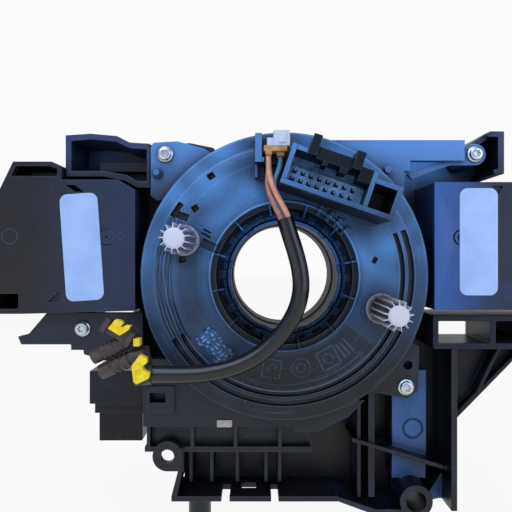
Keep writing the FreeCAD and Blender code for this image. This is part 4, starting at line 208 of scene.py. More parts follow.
# %% The moulded finish
def moulded(name, high, low, top=60.0, bottom=-70.0, axis="Z", rim="#5f86b8", deep="#040508", rough=0.46,
            grain=0.02, cloud=0.5, gloss=0.4, shade=None, rings=0.0, sides=0.0):
    """Polyamide with painted sky reflection and shade: tone = smooth step along an axis between bottom and top,
    plus cloud noise, mixing low (painted shade) into high (painted sky reflection). deep is the painted shade of
    recesses, and rim is the painted highlight of edges, which stands for wear too. shade names a value stored on
    the mesh that paints light and shade: 0 darkens, 1 leaves, more brightens. rings adds turned scratches.
    sides is how far a wall square to the face falls back to the low tone: painted shade."""
    finish, tree, shader, place = new_finish(name, Roughness=rough, Specular_IOR_Level=gloss)
    parts = add(tree, "SeparateXYZ", {0: place})
    # Painted sky reflection and shade: the high tone up the axis, the low tone down it.
    fade = add(tree, "MapRange",
               {"Value": parts.outputs[axis], "From Min": bottom * MM, "From Max": top * MM},
               interpolation_type="SMOOTHSTEP")
    patches = add(tree, "TexNoise",
                  {"Vector": place, "Scale": 1 / (CLOUD * MM), "Detail": 5.0, "Roughness": 0.65})
    shifted = add(tree, "Math", {0: patches.outputs["Fac"], 1: cloud, 2: -cloud / 2},
                  operation="MULTIPLY_ADD")
    tone = add(tree, "Math", {0: fade, 1: shifted}, operation="ADD", use_clamp=True)
    # Painted shade: walls that turn away from the driver fall back towards the low tone.
    if sides:
        normal = add(tree, "SeparateXYZ", {0: add(tree, "NewGeometry").outputs["Normal"]}).outputs["Y"]
        faced = add(tree, "MapRange", {"Value": normal, "From Min": SIDE_FROM, "From Max": SIDE_FULL,
                                       "To Min": 1 - sides})
        tone = add(tree, "Math", {0: tone, 1: faced}, operation="MULTIPLY")
    colour = join(tree, tone, linear(low), linear(high))
    # The stored value paints light and shade.
    if shade:
        stored = add(tree, "Attribute", attribute_name=shade).outputs["Fac"]
        colour = add(tree, "VectorMath", {0: colour, "Scale": stored}, operation="SCALE")
    colour, open_share = painted_recess_shade(tree, colour, deep)
    colour = painted_edge_highlight_and_wear(tree, colour, rim, open_share)
    fine = add(tree, "TexNoise", {"Vector": place, "Scale": 1 / (GRAIN * MM), "Detail": 2.0})
    height = fine.outputs["Fac"]
    specks = add(tree, "TexNoise", {"Vector": place, "Scale": 1 / (DUST * MM), "Detail": 1.0}).outputs["Fac"]
    dust = add(tree, "MapRange", {"Value": specks, "From Min": DUST_FROM, "From Max": DUST_FULL,
                                  "To Max": DUST_SHARE})
    colour = join(tree, dust, colour, linear(DUST_TONE))
    if rings:
        colour, height = scratched(tree, parts, colour, height, rings)
    tree.links.new(colour, shader.inputs["Base Color"])
    spread = add(tree, "MapRange",
                 {"Value": patches.outputs["Fac"], "To Min": rough - 0.1, "To Max": rough + 0.12})
    tree.links.new(spread.outputs[0], shader.inputs["Roughness"])
    bumped(tree, shader, height, grain)
    return finish


# %% One finish for each moulding
# Each moulding: a high tone of painted sky reflection, a low tone of painted shade, and where they are reached.
FINISH = {
    "disc": moulded("polyamide_moulded_turned", "#3d70aa", "#090c13", top=46, bottom=-50, rough=0.40,
                    shade="shade", rings=0.2, rim="#86a9d6"),
    "hub": moulded("polyamide_moulded_hub", "#2f5894", "#07090e", top=30, bottom=-30, rough=0.5, gloss=0.12,
                   shade="shade", rim="#4f78ac"),
    "header": moulded("polyamide_connector", "#447ab8", "#0d1422", top=50, bottom=10, rough=0.42, sides=0.95),
    "case": moulded("polyamide_case", "#4e86cc", "#0c1017", top=57, bottom=26, rough=0.44, rings=0.08,
                    cloud=0.3),
    "plate": moulded("polyamide_carrier_plate", "#4a86d2", "#0d0b0c", top=54, bottom=31, rough=0.42,
                     cloud=0.3, rim="#4a6c9e", sides=0.6),
    "pocket": moulded("polyamide_carrier_pocket", "#22355a", "#0f1420", top=56, bottom=34, rough=0.38,
                      sides=0.3),
    "hook": moulded("polyamide_carrier_hook", "#1f3154", "#0a0d15", top=56, bottom=38, rough=0.38, sides=0.7),
    "arm": moulded("polyamide_carrier_arm", "#1c2740", "#10131c", top=-14, bottom=-40, rough=0.42),
    "tray": moulded("polyamide_carrier_tray", "#171d2c", "#0e0f15", top=-40, bottom=-96, rough=0.40,
                    rim="#4a6896"),
    "channel": moulded("polyamide_carrier_channel", "#34619f", "#090b11", top=17.0, bottom=12, axis="Y",
                       rough=0.34, cloud=0.9, rim="#35527f", sides=0.9),
    "holder": moulded("polyamide_carrier_holder", "#131a2a", "#08090f", top=-26, bottom=-70, rough=0.40,
                      gloss=0.25),
    # Near black: partly the latches' own black, partly painted shade of the socket.
    "latch": moulded("polyamide_latches", "#10161f", "#050609", top=50, bottom=34, rough=0.45, gloss=0.2),
    "switch_left": moulded("polycarbonate_blend_left_box", "#1d2a47", "#131318", top=-64, bottom=-112,
                           axis="X", rough=0.36, grain=0.03, cloud=0.6, gloss=0.35),
    "switch_right": moulded("polycarbonate_blend_right_box", "#28589f", "#131c30", top=60, bottom=92,
                            axis="X", rough=0.36, grain=0.03, cloud=0.6, gloss=0.35, sides=0.9),
    "module": moulded("smooth_black_module", "#0f1421", "#08090f", top=-42, bottom=-74, rough=0.34,
                      gloss=0.3),
    "grip": moulded("grip_grained", "#191b21", "#121319", top=26, bottom=6, rough=0.46, grain=0.05,
                    cloud=0.4),
    "post": moulded("round_post", "#2c3342", "#0c0e13", top=-84, bottom=-124, rough=0.25),
}
print("moulded finishes:", len(FINISH))

# %% [markdown]
# ## The other finishes
# The small nylon plug and its silicone seal let a little light in, so they get some subsurface. The acetal
# pins are opaque, and take painted shade between their fins and towards the disc from a value stored on the
# mesh. Yellow and brown glass-filled parts are plainer, wires are vinyl, and the sheath is shrunk polyolefin
# with a wet gloss. Each could be one flat colour, but two close tones in patches are what keeps plastic from
# looking like paint.


# %% Plain plastics
PATCH_FROM, PATCH_FULL = 0.35, 0.65     # noise values between which one tone turns into the other


def speckled(name, main, second, scale, rough, depth=0.01, **more):
    """A plastic of two close tones in patches scale millimetres across, which are also a faint bump."""
    finish, tree, shader, place = new_finish(name, Roughness=rough, **more)
    noise = add(tree, "TexNoise",
                {"Vector": place, "Scale": 1 / (scale * MM), "Detail": 5.0, "Roughness": 0.6})
    part = add(tree, "MapRange",
               {"Value": noise.outputs["Fac"], "From Min": PATCH_FROM, "From Max": PATCH_FULL})
    tree.links.new(join(tree, part, linear(main), linear(second)), shader.inputs["Base Color"])
    bumped(tree, shader, noise.outputs["Fac"], depth)
    return finish


def shaded(name, main, deep, scale, rough):
    """Two tones by a value stored on the mesh that paints light and shade, 0 for deep (painted shade) and 1 for
    main, with a faint patchiness.
    """
    finish, tree, shader, place = new_finish(name, Roughness=rough)
    noise = add(tree, "TexNoise", {"Vector": place, "Scale": 1 / (scale * MM), "Detail": 4.0})
    stored = add(tree, "Attribute", attribute_name="shade").outputs["Fac"]
    wobble = add(tree, "Math", {0: noise.outputs["Fac"], 1: 0.3, 2: -0.15}, operation="MULTIPLY_ADD")
    part = add(tree, "Math", {0: stored, 1: wobble}, operation="ADD", use_clamp=True)
    tree.links.new(join(tree, part, linear(deep), linear(main)), shader.inputs["Base Color"])
    bumped(tree, shader, noise.outputs["Fac"], 0.01)
    return finish


SOFT_LIGHT = dict(Subsurface_Weight=0.1, Subsurface_Scale=0.001)
FINISH.update(
    # The pins' deep tones are painted shade; the right pin's finish is the same white acetal in darker painted
    # shade.
    pin_left=shaded("acetal_white", "#c3c8de", "#5c617f", 4.0, 0.45),
    pin_right=shaded("acetal_white_in_shade", "#c3c6d4", "#2b2120", 4.0, 0.45),
    plug=speckled("nylon_white", "#cdd6ec", "#b3c0e0", 3.0, 0.45, **SOFT_LIGHT),
    collar=speckled("silicone_seal_amber", "#c9a070", "#a57a4c", 2.0, 0.4, **SOFT_LIGHT),
    insert=speckled("polyamide_pin_insert", "#6fa4e4", "#36588a", 5.0, 0.4, depth=0.02),
    yellow=speckled("glass_filled_yellow", "#f0dc1a", "#d9bb0c", 2.5, 0.4),
    brown=speckled("glass_filled_brown", "#4b3f38", "#2a2422", 3.0, 0.42),
    pink=speckled("vinyl_salmon", "#e0a48a", "#c68a76", 2.2, 0.36),
    # The rear wire is the same salmon vinyl in painted shade.
    pink_rear=speckled("vinyl_salmon_in_painted_shade", "#b07c70", "#8d6058", 2.2, 0.4),
    pale_blue=speckled("vinyl_light_blue", "#6fa9da", "#4f8ac0", 2.2, 0.36),
    sheath=speckled("polyolefin_sheath", "#0c0b0d", "#15161b", 3.0, 0.22, depth=0.03),
    label=speckled("polyester_label", "#9ebdf0", "#8fb1e8", 9.0, 0.34, depth=0.004),
    sticker=speckled("paper_sticker", "#b9b3b4", "#9a9498", 1.2, 0.7),
    board=speckled("coated_board", "#17452c", "#0f3521", 2.0, 0.35),
    film=speckled("polyimide_ribbon", "#a8692a", "#8c541f", 3.0, 0.25),
)
print("finishes:", len(FINISH))

# %% [markdown]
# Zinc plate is a metal with a soft, slightly blue shine that varies in small patches, so its roughness and
# its colour both follow one noise. One plain colour would look like grey paint. The same finish in darker
# tones serves the springs and the tinned pins.


# %% Metals
def plated(name, main, second, rough):
    """A metal: colour and roughness follow patches 1.5 mm across."""
    finish, tree, shader, place = new_finish(name, Metallic=1.0, Roughness=rough)
    noise = add(tree, "TexNoise", {"Vector": place, "Scale": 1 / (1.5 * MM), "Detail": 3.0})
    tree.links.new(join(tree, noise.outputs["Fac"], linear(main), linear(second)),
                   shader.inputs["Base Color"])
    span = add(tree, "MapRange",
               {"Value": noise.outputs["Fac"], "To Min": rough - 0.08, "To Max": rough + 0.12})
    tree.links.new(span.outputs[0], shader.inputs["Roughness"])
    bumped(tree, shader, noise.outputs["Fac"], 0.01)
    return finish


FINISH.update(
    zinc=plated("zinc_plated_steel", "#d9dedd", "#aab6ba", 0.28),
    spring=plated("spring_steel", "#b9bcc0", "#8f9398", 0.25),
    tin=plated("tinned_brass", "#8f9298", "#6a6d75", 0.35),
)
print("finishes:", len(FINISH))

# %% [markdown]
# ## Making surfaces
# A surface is a grid of points worked out with numpy. These helpers join the grid's points to faces, close
# it round or across, and store it as a piece that rides on its body.


# %% Grids and closed shapes
def quads(rows, columns, close_rows=False, close_columns=False):
    """Four-sided faces that join each grid point to its neighbours to the right and below."""
    i, j = np.meshgrid(np.arange(rows if close_rows else rows - 1),
                       np.arange(columns if close_columns else columns - 1), indexing="ij")
    down, right = (i + 1) % rows, (j + 1) % columns
    corners = [i * columns + j, i * columns + right, down * columns + right, down * columns + j]
    return np.stack(corners, -1).reshape(-1, 4)


def capped(rings):
    """Rings one after another, closed round, with a flat cap at both ends."""
    rows, columns = rings.shape[:2]
    faces = quads(rows, columns, close_columns=True).tolist()
    faces.append(list(range(columns))[::-1])
    faces.append(list(range((rows - 1) * columns, rows * columns)))
    return rings.reshape(-1, 3), faces


def circles(x, z, radius, depth, angle):
    """Points (x + radius cos, depth, z + radius sin) round a place, a row for each radius and depth."""
    radius, depth, angle = np.broadcast_arrays(radius, depth, angle)
    return np.stack([x + radius * np.cos(angle), depth, z + radius * np.sin(angle)], -1)


def looped(rings):
    """Rings one after another, closed round and from the last back to the first, as a tyre is."""
    rows, columns = rings.shape[:2]
    return rings.reshape(-1, 3), quads(rows, columns, True, True).tolist()


def together(*shapes):
    """Several sets of points and faces as one."""
    points, faces, start = [], [], 0
    for more_points, more_faces in shapes:
        points.append(np.asarray(more_points, float))
        faces += [[index + start for index in face] for face in more_faces]
        start += len(more_points)
    return np.concatenate(points), faces


print("faces on a closed ring of 4 x 12 points:", len(quads(4, 12, close_columns=True)))


# %% From a shape to a piece
def settle(made, body, finish, replaced=()):
    """Gives a piece its material, its body and the nodes that it stands for."""
    made.data.materials.clear()
    made.data.materials.append(finish)
    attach(made, body)
    if replaced:
        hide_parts(*replaced)
    return made


def smoothed(mesh, turn):
    """Smooth shading that breaks where faces turn by more than an angle."""
    mesh.polygons.foreach_set("use_smooth", np.ones(len(mesh.polygons), bool))
    mesh.set_sharp_from_angle(angle=turn)


def rounded(made, width, turn=math.radians(30), clamp=True):
    """Rounds a piece's edges that turn by more than an angle."""
    bevel = made.modifiers.new("rounding", "BEVEL")
    bevel.width, bevel.segments = width * MM, 2
    bevel.limit_method, bevel.angle_limit = "ANGLE", turn
    bevel.use_clamp_overlap, bevel.harden_normals = clamp, True
    return made


def piece(name, shape, body, finish, replaced=(), sharp=38.0, shade=None):
    """A new mesh piece from points in millimetres and faces, with normals outwards and sharp edges kept."""
    points, faces = shape
    mesh = bpy.data.meshes.new(name)
    mesh.from_pydata((np.asarray(points) * MM).tolist(), [], faces)
    edit = bmesh.new()
    edit.from_mesh(mesh)
    bmesh.ops.recalc_face_normals(edit, faces=edit.faces)
    edit.to_mesh(mesh)
    edit.free()
    smoothed(mesh, math.radians(sharp))
    if shade is not None:
        stored = mesh.attributes.new("shade", "FLOAT", "POINT")
        stored.data.foreach_set("value", np.asarray(shade, np.float32).ravel())
    return settle(placed(name, mesh), body, finish, replaced)


# %% [markdown]
# ## Softened mouldings
# A moulding has no knife edges: each one is rounded by a few tenths of a millimetre, and that thin round
# catches the light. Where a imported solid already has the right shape, a copy is merged, its flat faces are
# joined, and a Bevel rounds every edge that turns by more than 35 degrees.


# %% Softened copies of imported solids
SHARP_TURN = math.radians(35)
FLAT_TURN = math.radians(0.5)
MERGE = 2e-6            # metres


def softened(node, finish, width):
    """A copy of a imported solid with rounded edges, in place of that solid."""
    mesh = NODES[node].data.copy()
    edit = bmesh.new()
    edit.from_mesh(mesh)
    bmesh.ops.remove_doubles(edit, verts=edit.verts, dist=MERGE)
    bmesh.ops.dissolve_limit(edit, angle_limit=FLAT_TURN, verts=edit.verts, edges=edit.edges)
    edit.to_mesh(mesh)
    edit.free()
    smoothed(mesh, SHARP_TURN)
    made = rounded(placed(node + "_moulding", mesh), width, SHARP_TURN, clamp=False)
    return settle(made, BODY_OF[node], FINISH[finish], [node])


SOFTENED = [
    ("carrier_bracket", "plate", 0.35), ("column_collar", "plate", 0.4), ("upper_pocket", "pocket", 0.35),
    ("right_hook", "hook", 0.35), ("left_arm", "arm", 0.35), ("lower_tray", "tray", 0.12),
    ("right_channel", "channel", 0.35), ("right_holder", "holder", 0.35),
    ("stator_housing", "case", 0.25), 
    ("left_switch_housing", "switch_left", 0.3), ("left_switch_cover", "switch_left", 0.3),
    ("right_switch_housing", "switch_right", 0.3), ("right_switch_cover", "switch_right", 0.3),
    ("module_housing", "module", 0.4), ("module_lid", "module", 0.3),
    ("squib_plug_upper", "brown", 0.25), ("squib_plug_lower", "brown", 0.25),
    ("lower_post", "post", 0.3), ("left_end_button", "grip", 0.4), ("right_end_button", "grip", 0.4),
    ("right_interval_dial", "grip", 0.15), ("left_lever", "grip", 0.08), ("right_lever", "grip", 0.2),
]
for node, finish, width in SOFTENED:
    softened(node, finish, width)
print("softened mouldings:", len(SOFTENED))

# %% [markdown]
# ## Nodes that keep their own mesh
# The inner pieces are small or hidden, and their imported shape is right. A copy with rounded edges would
# cost faces that nobody sees, so they only take a finish.

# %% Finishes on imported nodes
KEPT = dict(
    case=["stator_rear_cover"], film=["ribbon_coil"], board=["angle_sensor", "left_contact_board",
                                                             "right_contact_board", "module_board"],
    tin=["connector_terminals", "left_terminals", "right_terminals", "module_terminals"],
    spring=["left_detent_spring", "left_button_spring", "right_detent_spring", "right_button_spring"],
    grip=["left_pivot_yoke", "right_pivot_yoke", "angle_code_ring"],
    plug=["left_detent_plunger", "right_detent_plunger"],
)
for finish, names in KEPT.items():
    for name in names:
        NODES[name].data.materials.clear()
        NODES[name].data.materials.append(FINISH[finish])
print("packed nodes finished:", sum(len(names) for names in KEPT.values()))

# %% [markdown]
# ## Lead: wires and sheath
# Two salmon wires and a light-blue one leave the white plug and go into a black shrunk sheath, which
# crosses the hub and ends in the airbag plugs at the lower left. A tube could be swept as a mesh, but a
# curve with a round bevel needs only the few points of its route.

# %% The airbag lead
PINK_FRONT = [
    (-6.8, -9.3, 47.4), (-6.8, -9.3, 43.8), (-6.4, -10.2, 39.4), (-5.1, -11.2, 35.0),
    (-3.0, -12.0, 30.6), (-0.8, -12.7, 26.6), (0.76, -13.15, 23.0), (2.13, -13.58, 18.2),
]
PINK_BACK = [
    (-6.6, -6.2, 47.4), (-6.6, -6.2, 43.8), (-7.1, -7.4, 39.6), (-7.1, -9.1, 35.2),
    (-5.8, -10.8, 30.6), (-3.9, -12.2, 26.4), (-1.95, -13.0, 22.3), (-0.42, -13.43, 17.5),
]
BLUE = [
    (-2.0, -7.0, 47.4), (-2.0, -7.0, 44.4), (-3.5, -7.1, 40.6), (-4.8, -7.9, 36.6),
    (-4.4, -9.0, 32.2), (-2.8, -10.1, 27.8), (-0.75, -10.8, 22.5), (0.84, -11.33, 17.7),
]
SHEATH = [
    (-0.5, -12.4, 22.6), (1.1, -12.9, 17.0), (3.2, -13.4, 10.6), (5.0, -13.8, 3.6), (5.7, -14.0, -3.4),
    (4.4, -14.0, -10.6), (1.2, -13.8, -17.2), (-3.4, -13.6, -23.2), (-8.9, -13.4, -28.4),
    (-15.8, -13.2, -32.6), (-23.5, -13.0, -35.3), (-31.6, -12.8, -36.8), (-39.6, -12.6, -37.3),
    (-46.4, -12.6, -37.2), (-51.4, -12.6, -37.2),
]
PINK_RADIUS, BLUE_RADIUS, SHEATH_RADIUS = 1.1, 1.0, 3.3


def strand(name, route, radius, finish, node):
    """A round cord: a NURBS curve of order 3 whose control points are the route's points."""
    data = bpy.data.curves.new(name, "CURVE")
    data.dimensions = "3D"
    data.bevel_depth, data.bevel_resolution, data.resolution_u = radius * MM, 6, 10
    data.use_fill_caps = True
    line = data.splines.new("NURBS")
    line.points.add(len(route) - 1)
    for point, (x, y, z) in zip(line.points, route):
        point.co = (x * MM, y * MM, z * MM, 1)
    line.order_u = 3
    line.use_endpoint_u = True
    return settle(placed(name, data), "rotor", FINISH[finish], [node])


for name, route, radius, finish, slot, node, length in (
        ("wire_front", PINK_FRONT, PINK_RADIUS, "pink", "pink_insulation", "pink_wire_front", 0.0313),
        ("wire_back", PINK_BACK, PINK_RADIUS, "pink_rear", "pink_insulation", "pink_wire_back", 0.0322),
        ("wire_blue", BLUE, BLUE_RADIUS, "pale_blue", "blue_insulation", "blue_wire", 0.0314)):
    wire = strand(name, route, radius, finish, node)
sheath = strand("sheath", SHEATH, SHEATH_RADIUS, "sheath", "lead_sheath")
print("wires: 3, sheath:", len(SHEATH), "points")

# %% [markdown]
# ## The turning disc
# The disc is one moulding with many shallow steps: ring grooves, a worn channel on the left, a raised field
# at the upper left, windows, round ejector marks and a sunk field with plain signs at the bottom. All of
# them are heights over one flat face, so the face is worked out as a height for each radius and angle of a
# polar grid.


# %% Height helpers
def rise(value, edge, soft):
    """0 before the edge and 1 after it, along 3t squared minus 2t cubed over the soft width."""
    t = np.clip((value - edge) / soft + 0.5, 0, 1)
    return t * t * (3 - 2 * t)


def between(value, low, high, soft=0.3):
    """1 between two edges and 0 outside them."""
    return rise(value, low, soft) * (1 - rise(value, high, soft))


def around(angle, radius, start, sweep, soft=0.6):
    """1 inside a sector given by its start and sweep in degrees. The soft width is measured along the arc."""
    middle = math.radians(start + sweep / 2)
    away = np.abs((angle - middle + math.pi) % TAU - math.pi) * radius
    return 1 - rise(away, math.radians(sweep / 2) * radius, soft)


def turned_about(x, z, centre, degrees):
    """Coordinates along and across a direction, from a centre."""
    c, s = math.cos(math.radians(degrees)), math.sin(math.radians(degrees))
    dx, dz = x - centre[0], z - centre[1]
    return dx * c + dz * s, dz * c - dx * s


def rectangle(x, z, centre, wide, high, degrees, soft=0.3):
    """1 inside a turned rectangle and 0 outside it."""
    u, w = turned_about(x, z, centre, degrees)
    return between(u, -wide / 2, wide / 2, soft) * between(w, -high / 2, high / 2, soft)


def ring_mark(x, z, centre, radius, width=0.22):
    """A thin ring: a bell curve of the distance from a circle."""
    away = np.abs(np.hypot(x - centre[0], z - centre[1]) - radius)
    return np.exp(-(away / width) ** 2)


def line_mark(x, z, start, end, width=0.2):
    """A thin line: a bell curve of the distance from the nearest point of a segment."""
    ax, az = start
    bx, bz = end[0] - ax, end[1] - az
    t = np.clip(((x - ax) * bx + (z - az) * bz) / (bx * bx + bz * bz), 0, 1)
    return np.exp(-(np.hypot(x - ax - t * bx, z - az - t * bz) / width) ** 2)


def pulses(angle, number, share=0.5, turn=0.0, soft=0.15):
    """A square wave round the circle with soft sides: number teeth, each filling a share of its pitch."""
    phase = (angle / TAU * number + turn) % 1.0
    return between(phase, (1 - share) / 2, (1 + share) / 2, soft)


print("a soft step of 1 mm, half way:", float(rise(0.0, 0.0, 1.0)))

# %% The disc's features
DISC_OUT, DISC_SPLIT, DISC_HOLE, DISC_BACK = 59.2, 47.2, 28.3, 3.0
HUB_LIP = 30.2          # radius where the face steps down to the hub
SPOKES = 12             # short ribs between the disc and the hub
SEAM_HIGH = 0.12
EJECTOR_MARKS = [   # x, z and radius of each round mark
    (-14.6, 54.6, 1.9), (-36.7, 43.3, 1.9), (-21.4, 36.5, 2.1), (-17.0, 29.4, 1.5), (-34.1, 22.6, 2.3),
    (-26.6, 20.9, 1.6), (-34.4, 5.6, 2.2), (-33.4, -11.0, 1.9), (-48.3, 30.0, 1.7), (-56.4, -5.6, 1.6),
    (24.6, 21.9, 2.4), (23.3, 9.9, 2.1), (51.0, 12.5, 1.8), (33.8, -40.6, 2.3), (17.4, -54.6, 2.4),
    (-8.6, -56.6, 1.8), (33.0, -14.6, 1.6), (-12.8, 32.8, 1.7), (-19.0, -46.2, 1.2), (45.2, -28.9, 1.9),
]
SEAMS = [           # thin lines across the face
    ((-30.0, 48.8), (-9.0, 44.8)), ((-33.0, 41.5), (-8.5, 36.0)), ((-29.5, 41.0), (-24.0, 33.2)),
    ((-24.0, 33.2), (-13.0, 31.0)), ((-12.8, 44.0), (-15.5, 27.0)), ((-50.6, 23.7), (-44.0, 32.5)),
    ((-44.0, 32.5), (-33.2, 19.0)), ((-15.6, -42.0), (-19.5, -50.5)), ((31.0, 33.5), (52.0, 20.0)),
    ((20.3, 24.0), (28.6, 27.5)), ((31.0, 26.0), (41.0, 21.3)), ((20.5, -21.5), (27.5, -25.5)),
    ((33.0, 19.9), (46.4, 17.0)), ((-49.6, 13.6), (-44.6, 13.6)), ((-37.5, 11.6), (-30.0, 8.0)),
    ((-36.4, 14.6), (-28.8, 11.0)), ((-42.0, -24.0), (-33.0, -20.0)), ((-33.0, -20.0), (-26.0, -29.0)),
]
# inner and outer radius, soft width, start and sweep in degrees, soft width of the ends, height
BANDS = [
    (30.6, 52.0, 3.0, 88, 88, 5.0, 0.30),           # raised field at the upper left
    (51.0, 53.2, 0.35, -150, 171, 1.0, -1.6), (47.7, 49.3, 0.35, -150, 171, 1.0, -1.6),     # two grooves
    (32.5, 46.6, 0.5, -112, 74, 0.6, -0.45),        # sunk field of the signs
    (34.5, 43.5, 5.0, 158, 52, 9.0, 0.22),          # faint swelling on the left
]
PAINTED_LIGHT_BANDS = [           # places given the same way, with how much painted light they get; below 0 is painted shade
    (32.0, 46.5, 3.0, -24, 46, 14.0, 0.55), (35.5, 44.5, 4.0, 160, 48, 8.0, -0.45),
    (32.5, 46.6, 0.5, -112, 74, 0.6, -0.6),
]
WORN = (46.4, 53.3, 0.8, 152, 62, 4.0)              # the channel on the left that has been rubbed
WORN_GAP = 1.5                                      # mm between its lines


def band(radius, angle, low, high, soft, start, sweep, ease):
    """1 in a stretch of a ring and 0 outside it."""
    return between(radius, low, high, soft) * around(angle, radius, start, sweep, ease)


print("disc: radius", DISC_OUT, "marks", len(EJECTOR_MARKS), "seams", len(SEAMS), "bands", len(BANDS))


# %% The disc's height
def disc_height(radius, angle):
    """The disc's steps, marks and wear at a radius and an angle, summed, in mm towards the driver."""
    x, z = radius * np.cos(angle), radius * np.sin(angle)
    height = -0.45 * rise(radius, 53.3, 1.2) - 0.5 * rise(radius, 58.9, 0.5)
    for *place, high in BANDS:
        height += high * band(radius, angle, *place)
    wander = 0.5 * np.sin(3.1 * angle) + 0.35 * np.sin(7.3 * angle + 1.0)
    lines = 0.16 * np.sin(TAU * (radius + wander) / WORN_GAP) + 0.07 * np.sin(TAU * (radius - wander) / 0.8)
    height -= band(radius, angle, *WORN) * (0.55 + lines)
    height += 0.40 * between(radius, HUB_LIP, HUB_LIP + 1.1, 0.4)
    spokes = pulses(angle, SPOKES, 0.085, 0.1, 0.03)
    height -= between(radius, 0, HUB_LIP, 0.4) * (1.9 - 1.3 * spokes)
    height += 1.1 * band(radius, angle, 28.6, 33.0, 0.4, 32, 34, 0.5) * pulses(angle, 44, 0.5)
    for cx, cz, size in EJECTOR_MARKS:
        height -= SEAM_HIGH * ring_mark(x, z, (cx, cz), size)
    for start, end in SEAMS:
        height -= SEAM_HIGH * line_mark(x, z, start, end)
    return height, x, z


def disc_cuts(x, z):
    """Depth of the square holes, windows and slots, and 1 on the floor of the widest window."""
    depth = np.zeros_like(x)
    for centre, wide, high, degrees, deep in (
            ((-36.6, 27.8), 2.4, 2.4, 35, 2.4), ((-30.1, 41.1), 2.4, 2.4, 35, 2.4),
            ((-44.2, 27.2), 6.4, 2.2, 55, 2.2), ((-41.8, 24.6), 4.6, 2.6, -20, 1.8),
            ((-32.3, 16.9), 4.4, 0.7, -28, 1.0), ((-31.6, 18.4), 3.4, 0.6, -28, 1.0),
            ((-30.6, 12.4), 7.8, 3.4, -25, 1.3), ((-41.8, 6.9), 2.6, 2.2, 10, 1.8),
            ((37.0, 6.6), 2.4, 1.6, 62, 1.6)):
        depth = np.maximum(depth, deep * rectangle(x, z, centre, wide, high, degrees))
    floor = rectangle(x, z, (-28.9, -28.6), 15.5, 8.6, -47, 0.4)
    depth = np.maximum(depth, 0.9 * floor)
    return depth, floor


SIGN_ARC, SIGN_RING = 44.6, 38.2        # radius of the arc, and of the signs' middles
SIGN_LINE = 0.28                        # half the width of a raised line
ARROW = (42.8, 46.2)                    # radii where an arrow head's two strokes end


def polar(distance, degrees):
    """The place at a distance and a direction from the axis."""
    return distance * math.cos(math.radians(degrees)), distance * math.sin(math.radians(degrees))


def plain_signs(radius, angle):
    """Raised outlines in the sunk field: an arc with two arrow heads, squares, circles, rings and bars."""
    x, z = radius * np.cos(angle), radius * np.sin(angle)
    lines = [np.exp(-((radius - SIGN_ARC) / 0.3) ** 2) * around(angle, radius, -108, 64, 0.4)]
    for degrees, back in ((-108, -105), (-44, -47)):
        lines += [line_mark(x, z, polar(SIGN_ARC, degrees), polar(stroke, back), SIGN_LINE)
                  for stroke in ARROW]
    for degrees, size in ((-98, 3.6), (-62, 3.9)):
        centre = polar(SIGN_RING, degrees)
        u, w = turned_about(x, z, centre, degrees + 90)
        away = np.maximum(np.abs(u), np.abs(w)) - size
        lines += [np.exp(-(away / SIGN_LINE) ** 2), ring_mark(x, z, centre, size / 2, SIGN_LINE)]
    lines += [ring_mark(x, z, polar(SIGN_RING, -80), size, SIGN_LINE) for size in (3.8, 1.9)]
    lines += [line_mark(x, z, polar(35.0, bar), polar(41.5, bar), SIGN_LINE) for bar in (-53, -50, -47)]
    return np.max(lines, axis=0)


def ripple_and_glint(x, z):
    """Irregular patches in the window's floor, for small ripples of its height and for where painted glints fall:
    a product of two waves, each bent by another.
    """
    return np.sin(x * 1.7 + 1.6 * np.sin(z * 1.1)) * np.sin(z * 2.1 + 1.3 * np.sin(x * 0.9 + 0.7))


# %% The disc's tone
def disc_shade(radius, angle, x, z, y, signs, floor):
    """Painted light and shade, where 1 is plain plastic. Sunk places take painted shade; places that face the
    sky, the signs' lines and the rims take painted highlights, and the window's floor painted glints. The rubbed
    channel takes lines of wear.
    """
    # Painted shade in sunk places; steps take painted highlight and painted shade by their slope across the
    # rings.
    sunk = np.clip((y - 0.5) / 0.7, 0, 1) * (1 - floor)
    shade = 1.0 - 0.95 * sunk + 0.45 * np.clip(-3 * np.gradient(y, axis=0), -0.6, 1.2)
    for *place, more in PAINTED_LIGHT_BANDS:
        shade *= 1 + more * band(radius, angle, *place)
    # Painted shade on the outer band at the right.
    shade *= 1 - 0.3 * rise(radius, 53.2, 0.6) * around(angle, radius, -60, 100, 10.0)
    # Patchy painted sky reflection, on the upper half only.
    patch = np.sin(0.21 * x + 1.7 * np.sin(0.13 * z)) * np.sin(0.26 * z + 1.2 * np.sin(0.17 * x + 0.6))
    shade *= 1 + 0.4 * patch * rise(z, 2.0, 16.0)
    # Painted highlights on the signs' raised lines, the hub lip and the two outer rims.
    shade += 1.5 * signs + 0.9 * between(radius, HUB_LIP + 0.1, HUB_LIP + 1.0, 0.3)
    shade += 0.5 * between(radius, 58.3, 59.1, 0.3) + 0.35 * between(radius, 53.2, 53.9, 0.3)
    # Painted glints on the window's floor.
    shade += floor * (1.6 + 22.0 * np.clip(ripple_and_glint(x, z) - 0.3, 0, 1))
    lines = 0.45 * np.sin(TAU * (radius + 0.5 * np.sin(3.1 * angle)) / WORN_GAP) - 0.25
    streak = np.exp(-((radius - 49.6 - 0.6 * np.sin(5.0 * angle) - 0.3 * np.sin(23 * angle)) / 0.22) ** 2)
    return shade + band(radius, angle, *WORN) * (lines + 1.3 * streak)


# %% The disc as two rings of one moulding
DISC_COLUMNS = 720


